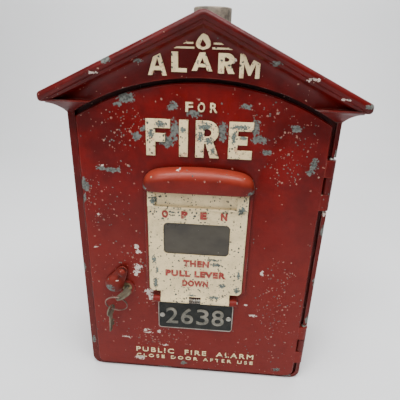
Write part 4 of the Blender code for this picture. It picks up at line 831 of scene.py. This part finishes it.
def hood_section(x, left, right, base, top, back, front):
    """(y, z) outline of the hood at x: bullnosed, and drawn in towards its rounded ends."""
    along = 2 * (x - left) / (right - left) - 1
    fullness = math.sqrt(max(0.0, 1 - abs(along) ** 10))
    crown = base + 3.8 * MM + fullness * (top - base - 9.5 * MM + 5.7 * MM * (1 - along * along))
    reach = 2 * MM + (back - front - 2 * MM) * fullness
    nose, low = min(10 * MM, 0.6 * reach), min(2.6 * MM, 0.25 * reach)
    outer = back - reach
    points = [(back, base)]
    points += [(outer + low * (1 - math.cos(a)), base + low * (1 - math.sin(a)))
               for a in (math.radians(90 - 15 * i) for i in range(7))]
    points += [(outer + nose * (1 - math.cos(a)), crown - nose + nose * math.sin(a))
               for a in (math.radians(90 * i / 14) for i in range(15))]
    return points + [(back, crown)]


def make_hood():
    """The hood over the trip door, in many more sections than the CAD solid has."""
    low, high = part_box("trip_hood")
    rings = []
    for i in range(57):
        x = low[0] + (high[0] - low[0]) * (1 - math.cos(math.pi * i / 56)) / 2
        x += 0.3 * MM * (i == 0) - 0.3 * MM * (i == 56)
        section = hood_section(x, low[0], high[0], low[2], high[2], high[1], low[1])
        rings.append([(x, y, z) for y, z in section])
    stand_in("trip_hood", skin(rings), HOOD_RED, sharp=60)


def make_number_plate():
    """A black plate with a raised rim and four raised digits."""
    x0, z0, x1, z1 = (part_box("number_plate")[i][j] for i in (0, 1) for j in (0, 2))
    face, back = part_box("number_plate")[0][1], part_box("number_plate")[1][1]
    corner, rim, sink = 4 * MM, 1.1 * MM, 0.35 * MM
    outer = rounded_rectangle(x0, x1, z0, z1, corner)
    inner = rounded_rectangle(x0 + rim, x1 - rim, z0 + rim, z1 - rim, corner - rim)
    screws = [middle(f"number_plate_screw_{side}") for side in ("left", "right")]
    holes = [rod(1.7 * MM, back + MM, face - MM, (at.x, 0, at.z), steps=48) for at in screws]
    body = carved("number_plate", plate(outer, face + sink, back), holes)
    add_piece("number_plate_fine", body, LOOKS["plate_enamel"], "door", "plate_enamel", ("number_plate",))
    rings = [[(x, y, z) for x, z in outline] for outline, y in (
        (outer, face + sink), (outer, face), (inner, face), (inner, face + sink))]
    edge = mesh_of("rim", skin(rings, looped=True))
    rounded(add_piece("number_plate_rim", edge, BARE_EDGE, "door", "plate_enamel"), 0.14 * MM)
    digits = spaced("2638", 14.4, (-29, -10.5, 8.5, 27), 80, 103)
    lettering("number_plate_digits", digits, face + sink + 0.1 * MM, 0.9 * MM, DIGIT_GREY, "door",
              edge=0.25 * MM, weight=0.0, slot="plate_enamel")


def make_screws():
    """Slotted round heads, finer than the CAD solids, each slot at its own angle."""
    heads = {
        "number_plate_screw_left": (3.2, 1.5, 20), "number_plate_screw_right": (3.2, 1.5, 75),
        **{f"tray_screw_{i}": (4.2, 2.4, 35 * i) for i in range(1, 5)},
        **{f"terminal_screw_{i}": (4.2, 3.0, 25 * i + 10) for i in range(1, 5)},
    }
    for node, (radius, tall, turn) in heads.items():
        low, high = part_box(node)
        radius, tall = radius * MM, tall * MM
        under = low[1] + tall
        dome = [(0, low[1])]
        for a in (math.radians(90 * i / 12) for i in range(1, 12)):
            dome.append((radius * math.sin(a), under - tall * math.cos(a) ** 0.7 * 0.999))
        dome.append((radius, under))
        shank = [(0.42 * radius, under), (0.42 * radius, high[1]), (0, high[1])]
        at = Vector((middle(node).x, 0, middle(node).z))
        half = 0.12 * radius
        slot = block(-half, half, low[1] - MM, low[1] + 0.45 * tall, -2 * radius, 2 * radius)
        slot.transform(Matrix.Translation(at) @ Matrix.Rotation(math.radians(turn), 4, "Y"))
        stand_in(node, bpy.data.objects.new(node, carved(node, lathe(dome + shank, at), [slot])), sharp=30)


# ---------------------------------------------------------------- lock, cover and keys

def teardrop(eye, lobe, eye_radius, lobe_radius, steps=20):
    """The outline round two circles and their common tangents, from the eye to the lobe."""
    reach = math.dist(eye, lobe)
    spread = math.degrees(math.acos((eye_radius - lobe_radius) / reach))
    down = math.degrees(math.atan2(lobe[1] - eye[1], lobe[0] - eye[0]))
    small = arc(*eye, eye_radius, down + spread, down + 360 - spread, steps)
    large = arc(*lobe, lobe_radius, down - spread, down + spread, steps)
    return small + between(small[-1], large[0]) + large + between(large[-1], small[0])


def between(start, end, count=10):
    return [tuple(p + (q - p) * i / count for p, q in zip(start, end)) for i in range(1, count)]


def make_keyhole_cover():
    """A pear-shaped flap, thin at its eye and domed over its lobe, hanging from its rivet."""
    low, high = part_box("keyhole_cover")
    eye_radius, lobe_radius = 5.6 * MM, 11.2 * MM
    eye = (high[0] - eye_radius, high[2] - eye_radius)
    lobe = (low[0] + lobe_radius, low[2] + lobe_radius)

    def ring(share, depth, rise=0.0, inset=0.0):
        """The outline at a share of its size, on the front of a flat plate with a dome over the lobe."""
        outline = teardrop(eye, lobe, (eye_radius - inset) * share, (lobe_radius - inset) * share)
        points = []
        for x, z in outline:
            away = min(1.0, math.dist((x, z), lobe) / (0.97 * lobe_radius))
            points.append((x, high[1] - depth - rise * math.sqrt(1 - away ** 2), z))
        return points

    rings = [ring(1.0, 0.0, inset=0.5 * MM), ring(1.0, 0.5 * MM), ring(1.0, 1.7 * MM)]
    shares = (0.965, 0.93, 0.88, 0.82, 0.74, 0.64, 0.53, 0.42, 0.31, 0.20, 0.10, 0.02)
    rings += [ring(share, 2.2 * MM, 3.9 * MM) for share in shares]
    pivot = middle("keyhole_cover_rivet")
    hole = rod(3.5 * MM, -75 * MM, -55 * MM, (pivot.x, 0, pivot.z))
    stand_in("keyhole_cover", carved("keyhole_cover", skin(rings), [hole]), COVER_RED, sharp=50)

    # The rivet that it hangs from
    low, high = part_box("keyhole_cover_rivet")
    radius, tall = 4.6 * MM, 3.2 * MM
    head = [(0, low[1])] + [(radius * math.sin(a), low[1] + tall * (1 - math.cos(a)))
                            for a in (math.radians(90 * i / 12) for i in range(1, 13))]
    shank = [(3.2 * MM, low[1] + tall + 0.6 * MM), (3.0 * MM, -61.4 * MM), (2.0 * MM, -60.5 * MM),
             (2.0 * MM, high[1]), (0, high[1])]
    at = (middle("keyhole_cover_rivet").x, 0, middle("keyhole_cover_rivet").z)
    stand_in("keyhole_cover_rivet", lathe(head + shank, at), COVER_RED, "red_enamel", sharp=50)


def make_keys():
    soften("door_key", 0.35 * MM, KEY_METAL)
    soften("spare_key", 0.3 * MM, KEY_METAL)
    soften("lock_cylinder", 0.4 * MM, LOCK_BRASS)
    low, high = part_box("key_ring")
    centre = middle("key_ring")
    gauge, turns, steps = 0.62 * MM, 1.85, 56
    radius = (high[0] - low[0]) / 2 - gauge
    lean = Matrix.Rotation(math.radians(18), 3, "X")
    points = []
    for i in range(int(turns * steps) + 1):
        angle = math.tau * i / steps - 0.6
        shift = gauge * 2.05 * (i / (turns * steps) - 0.5)
        points.append(centre + lean @ Vector((radius * math.cos(angle), shift, radius * math.sin(angle))))
    ring = bpy.data.objects.new("key_ring", wire("key_ring", points, gauge))
    stand_in("key_ring", ring, RING_METAL, sharp=60)


def make_hub():
    """The conduit hub: a rough casting with a rounded lip and a threaded bore."""
    low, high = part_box("conduit_hub")
    outer, bore = (high[0] - low[0]) / 2, 13.8 * MM
    at = middle("conduit_hub")
    lip, pitch, depth, steps = 1.6 * MM, 2.2 * MM, 0.9 * MM, 72

    def ring(radius, z, thread=0.0):
        """One turn round the bore. Its radius follows the thread, as high as the thread is deep."""
        points = []
        for i in range(steps):
            angle = math.tau * i / steps
            reach = radius + thread * abs(2 * ((z / pitch + i / steps) % 1.0) - 1)
            points.append((at.x + reach * math.cos(angle), at.y + reach * math.sin(angle), z))
        return points

    rings = [ring(outer, low[2] + (high[2] - lip - low[2]) * i / 12) for i in range(13)]
    for a in (math.radians(15 * i) for i in range(1, 7)):
        rings.append(ring(outer - lip + lip * math.cos(a), high[2] - lip + lip * math.sin(a)))
    rings.append(ring(bore + 0.8 * MM, high[2]))
    chamfer = 0.6 * MM
    threaded = high[2] - low[2] - 2 * chamfer
    rings += [ring(bore, high[2] - chamfer - threaded * i / 110, depth) for i in range(111)]
    stand_in("conduit_hub", skin(rings, looped=True), sharp=60)


def make_trip_door():
    soften("trip_door", 0.45 * MM, LOOKS["cream_enamel"])
    words = spaced("OPEN", 6.8, (-36, -15, 5.5, 27.5), 226.5, 235)
    band_y, face_y = -0.0648, -0.0640
    lettering("trip_door_open", words, band_y, 0.6 * MM, TEXT_RED, "trip", 0.12 * MM, 0.055)
    rows = [("THEN", -15.5, 13.5, 166, 174, 1.15), ("PULL LEVER", -36, 33, 152, 160, 1.15),
            ("DOWN", -16.5, 13.5, 139, 147, 1.15)]
    lettering("trip_door_words", rows, face_y + 0.2 * MM, 0.9 * MM, TEXT_RED, "trip", 0.15 * MM, 0.042)


# ---------------------------------------------------------------- cast lettering on the door and the pediment

def bar_letters():
    """Block letters 1 high, as outlines. Their strokes are s wide, and the thinner ones t."""
    s, t, w = 0.22, 0.17, 0.62
    low, high = 0.40, 0.40 + s * 0.95
    middle_bar = [(s, low), (0.48, low), (0.48, high), (s, high)]
    top_bar = [(s, 1 - s), (w, 1 - s), (w, 1), (0, 1)]
    bowl = 0.29
    letter_r = (
        [(0, 0), (s, 0), (s, 0.40), (s + 0.06, 0.40), (0.42, 0), (0.65, 0), (0.475, 0.44)]
        + arc(w - bowl, 1 - bowl, bowl, -58, 90, 10) + [(0, 1)]
    )
    eye = [(s, 0.57), (w - bowl, 0.57)] + arc(w - bowl, 0.685, 0.115, -90, 90, 8)[1:] + [(s, 0.80)]
    letter_a = [(0, 0), (t, 0), (0.235, 0.22), (0.565, 0.22), (0.8 - t, 0), (0.8, 0), (0.5, 1), (0.3, 1)]
    letter_m = [
        (0, 0), (t, 0), (t, 0.66), (0.41, 0.12), (0.49, 0.12), (0.90 - t, 0.66), (0.90 - t, 0), (0.90, 0),
        (0.90, 1), (0.90 - t, 1), (0.45, 0.44), (t, 1), (0, 1),
    ]
    return {
        "A": [letter_a, [(0.28, 0.37), (0.52, 0.37), (0.40, 0.78)]],
        "E": [[(0, 0), (w, 0), (w, s), (s, s), *middle_bar, *top_bar]],
        "F": [[(0, 0), (s, 0), *middle_bar, *top_bar]],
        "I": [[(0, 0), (s, 0), (s, 1), (0, 1)]],
        "L": [[(0, 0), (0.55, 0), (0.55, t), (s, t), (s, 1), (0, 1)]],
        "M": [letter_m],
        "R": [letter_r, eye],
    }


def make_door_words():
    letters, face_y = bar_letters(), DOOR_FACE_Y + 0.2 * MM
    rows = [(letters[name], x0, x1, 294, 330.5, 1.0)
            for name, x0, x1 in (("F", -55, -31.5), ("I", -21.5, -13.5), ("R", -5, 18), ("E", 28, 51))]
    lettering("door_word_fire", rows, face_y, 2.2 * MM, LETTER_CREAM, "door", 0.5 * MM)
    rows = spaced("FOR", 6.8, (-12.3, -0.5, 11.5), 339, 348)
    lettering("door_word_for", rows, face_y, 1.4 * MM, LETTER_CREAM, "door", 0.2 * MM, 0.01)
    rows = [("PUBLIC  FIRE  ALARM", -76, 75, 28.5, 35.7, 1.3),
            ("CLOSE DOOR AFTER USE", -76, 75, 19.5, 24.3, 1.55)]
    lettering("door_words_low", rows, face_y, 0.9 * MM, SMALL_CREAM, "door", 0.12 * MM, 0.0)


def flame():
    """A plain flame: two mirrored curves meeting at a tip, with a smaller one inside as its hole."""
    def tongue(width, base, tip, lean):
        heights = [i / 14 for i in range(15)]
        side = [(t, math.sin(math.pi * t ** 0.62) * (1 - 0.35 * t)) for t in heights]
        right = [(width * b + lean * t * t, base + (tip - base) * t) for t, b in side]
        left = [(-width * b + lean * t * t, base + (tip - base) * t) for t, b in reversed(side[1:-1])]
        return right + left
    return [tongue(0.5, 0.0, 1.5, 0.08), tongue(0.22, 0.18, 0.85, -0.05)]


def make_pediment():
    """A plain word under a flame, with straight rules beside it."""
    letters, face_y = bar_letters(), PEDIMENT_Y + 0.2 * MM
    word = (("A", -50.5, -33.5, 372.5), ("L", -28.5, -15, 376), ("A", -9.5, 8.5, 377.5), ("R", 14.5, 29, 376),
            ("M", 34, 52, 372.5))
    rows = [(letters[name], x0, x1, z0, 393, 1.0) for name, x0, x1, z0 in word]
    lettering("pediment_word", rows, face_y, 1.6 * MM, PEDIMENT_CREAM, "case", 0.3 * MM, 0.03)
    rows = [(flame(), -6.5, 6.5, 395.5, 412, 1.0)]
    rule = [(0, 0), (1, 0), (1, 1), (0, 1)]
    for z, outer in ((396.3, 38), (400.3, 31), (404.3, 23)):
        rows += [([rule], x0, x1, z, z + 1.3, 1.0) for x0, x1 in ((-outer, -12), (12, outer))]
    lettering("pediment_flame", rows, face_y, 1.2 * MM, PEDIMENT_CREAM, "case", 0.2 * MM)


# ---------------------------------------------------------------- movement, bell and small fittings

SOFTENED = {  # nodes whose edges are only rounded, and the width in mm
    "hub_locknut": 0.5, "door_gasket": 0.5, "hinge_pin_upper": 0.3, "hinge_pin_lower": 0.3,
    "movement_tray": 0.4, "front_plate": 0.25, "back_plate": 0.25, "lever_stud": 0.25, "contact_block": 0.2,
    "terminal_block": 0.3, "contact_spring_lower": 0.1, "contact_spring_upper": 0.1, "bell_post": 0.3,
    "coil_bracket": 0.4, "striker_pivot": 0.2, "ground_lug": 0.3, "lock_case": 0.3, "trip_hinge_pin": 0.2,
    "window_glass": 0.2, "window_retainer": 0.2, "lock_bolt": 0.2, "pull_lever": 0.25, "winding_arbor": 0.1,
    "mainspring_barrel": 0.15, "second_wheel": 0.12, "code_wheel": 0.12, "third_wheel": 0.12,
    "governor_fly": 0.1, "bell_striker": 0.25, **{f"plate_pillar_{i}": 0.2 for i in range(1, 5)},
}


def make_fittings():
    for node, width in SOFTENED.items():
        soften(node, width * MM, segments=2)


def spring(node, radius, gauge, axis, turns, steps=28):
    """A round coil spring with its last half turn at each end closed up flat."""
    low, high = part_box(node)
    centre, i = middle(node), "XYZ".index(axis)
    start, end = low[i] + gauge, high[i] - gauge
    points = []
    count = turns * steps
    for n in range(count + 1):
        angle = math.tau * n / steps
        share = min(max((n - steps / 2) / (count - steps), 0), 1)
        along = start + (end - start) * share - centre[i]
        a, b = radius * math.cos(angle), radius * math.sin(angle)
        points.append(centre + Vector({"X": (along, a, b), "Y": (a, along, b)}[axis]))
    made = bpy.data.objects.new(node, wire(node, points, gauge))
    stand_in(node, made, sharp=60)


def make_springs():
    spring("trip_spring", 2.7 * MM, 0.5 * MM, "X", 5)
    spring("lever_spring", 6.2 * MM, 0.6 * MM, "Y", 5)


def make_bell():
    low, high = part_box("bell_gong")
    at = Vector((middle("bell_gong").x, 0, middle("bell_gong").z))
    outer = [(3.6, 0), (9, 0.3), (13.5, 1.4), (17.5, 3.1), (20.8, 5.6), (23.2, 8.8), (24.8, 12.4),
             (25.6, 15.4), (26, 18)]
    inner = [(24.6, 18), (24.2, 15.6), (23.4, 12.9), (21.9, 9.6), (19.7, 6.9), (16.8, 4.7), (13.1, 3.0),
             (8.9, 2.0), (3.6, 1.7)]
    profile = [(radius * MM, low[1] + y * MM) for radius, y in outer + inner]
    gong = stand_in("bell_gong", lathe(profile, at, bored=True, steps=72), sharp=50)
    rounded(gong, 0.3 * MM, 2, 50)

    # The coil: two cheeks on a core, and between them the outer layer of its covered wire
    centre = middle("bell_coil")
    centre = Vector((0, centre.y, centre.z))
    profile = [(0, -54), (3.7, -54), (4, -53.7), (4, -52), (10.2, -52), (10.5, -51.7), (10.5, -50.3),
               (10.2, -50), (8.3, -50)]
    turns, pitch = 28, 23 / 28
    for turn in range(turns):
        for step in range(1, 5):
            a = math.pi * step / 5
            profile.append((8.3 + 0.28 * math.sin(a), -50 + pitch * (turn + (1 - math.cos(a)) / 2)))
    profile += [(8.3, -27), (10.2, -27), (10.5, -26.7), (10.5, -25.3), (10.2, -25), (4, -25), (4, -23.3),
                (3.7, -23), (0, -23)]
    coil = lathe(in_metres(profile), centre, "X", 40)
    stand_in("bell_coil", coil, COVERED_WIRE, sharp=40)


# ---------------------------------------------------------------- floor, light and camera

def make_stage():
    floor = bmesh.new()
    near_y, far_y, sweep, top_z = -3.2, 1.3, 0.5, 2.4
    outline = [(near_y, top_z)] + arc(near_y + sweep, sweep, sweep, 180, 270, 24)
    outline += arc(far_y - sweep, sweep, sweep, 270, 360, 24) + [(far_y, top_z)]
    columns = [[floor.verts.new((x, y, z)) for y, z in outline] for x in (-5, 5)]
    for i in range(len(outline) - 1):
        floor.faces.new((columns[0][i], columns[1][i], columns[1][i + 1], columns[0][i + 1]))
    paper = Paint("backdrop_paper")
    tone = paper.mix(paper.step(paper.noise(3, 3), 0.3, 0.7), (0.80, 0.805, 0.81), (0.82, 0.825, 0.83))
    paper.set(Base_Color=tone, Roughness=0.9)
    mesh = mesh_of("backdrop", floor)
    made = bpy.data.objects.new("backdrop", finish_mesh(mesh, paper.material, 60))
    bpy.context.scene.collection.objects.link(made)


def area_light(name, place, target, size, power, colour=(1, 1, 1)):
    light = bpy.data.lights.new(name, "AREA")
    light.shape = "RECTANGLE"
    light.size, light.size_y = size
    light.energy, light.color = power, colour
    made = bpy.data.objects.new(name, light)
    made.location = place
    made.rotation_euler = (Vector(target) - Vector(place)).to_track_quat("-Z", "Y").to_euler()
    bpy.context.scene.collection.objects.link(made)


def make_light():
    world = bpy.data.worlds.new("studio")
    world.use_nodes = True
    world.node_tree.nodes["Background"].inputs["Color"].default_value = (0.93, 0.96, 1.0, 1.0)
    world.node_tree.nodes["Background"].inputs["Strength"].default_value = 0.26
    bpy.context.scene.world = world
    area_light("overhead", (0.05, -0.38, 1.3), (0, -0.05, 0.1), (1.1, 0.6), 28)
    area_light("front", (-0.5, -0.95, 0.95), (0, -0.03, 0.22), (0.5, 0.4), 6.5)
    area_light("backdrop_light", (0.0, 0.45, 1.6), (0, 1.3, 0.75), (1.8, 0.3), 25)


def make_camera():
    lens = bpy.data.cameras.new("camera")
    lens.lens, lens.sensor_width = 33.75, 36
    lens.clip_start = 0.01
    made = bpy.data.objects.new("camera", lens)
    made.location = (0.0236, -0.427, 0.4018)
    made.rotation_euler = Euler(math.radians(a) for a in (67.16, -1.59, 4.20))
    bpy.context.scene.collection.objects.link(made)
    bpy.context.scene.camera = made


make_case()
make_hood()
make_number_plate()
make_screws()
make_keyhole_cover()
make_keys()
make_hub()
make_trip_door()
make_door_words()
make_pediment()
make_fittings()
make_springs()
make_bell()
for node, made in NODES.items():
    made.data.materials.clear()
    made.data.materials.append(LOOKS[SLOT_OF[node]])
make_stage()
make_light()
make_camera()

bpy.context.view_layer.update()
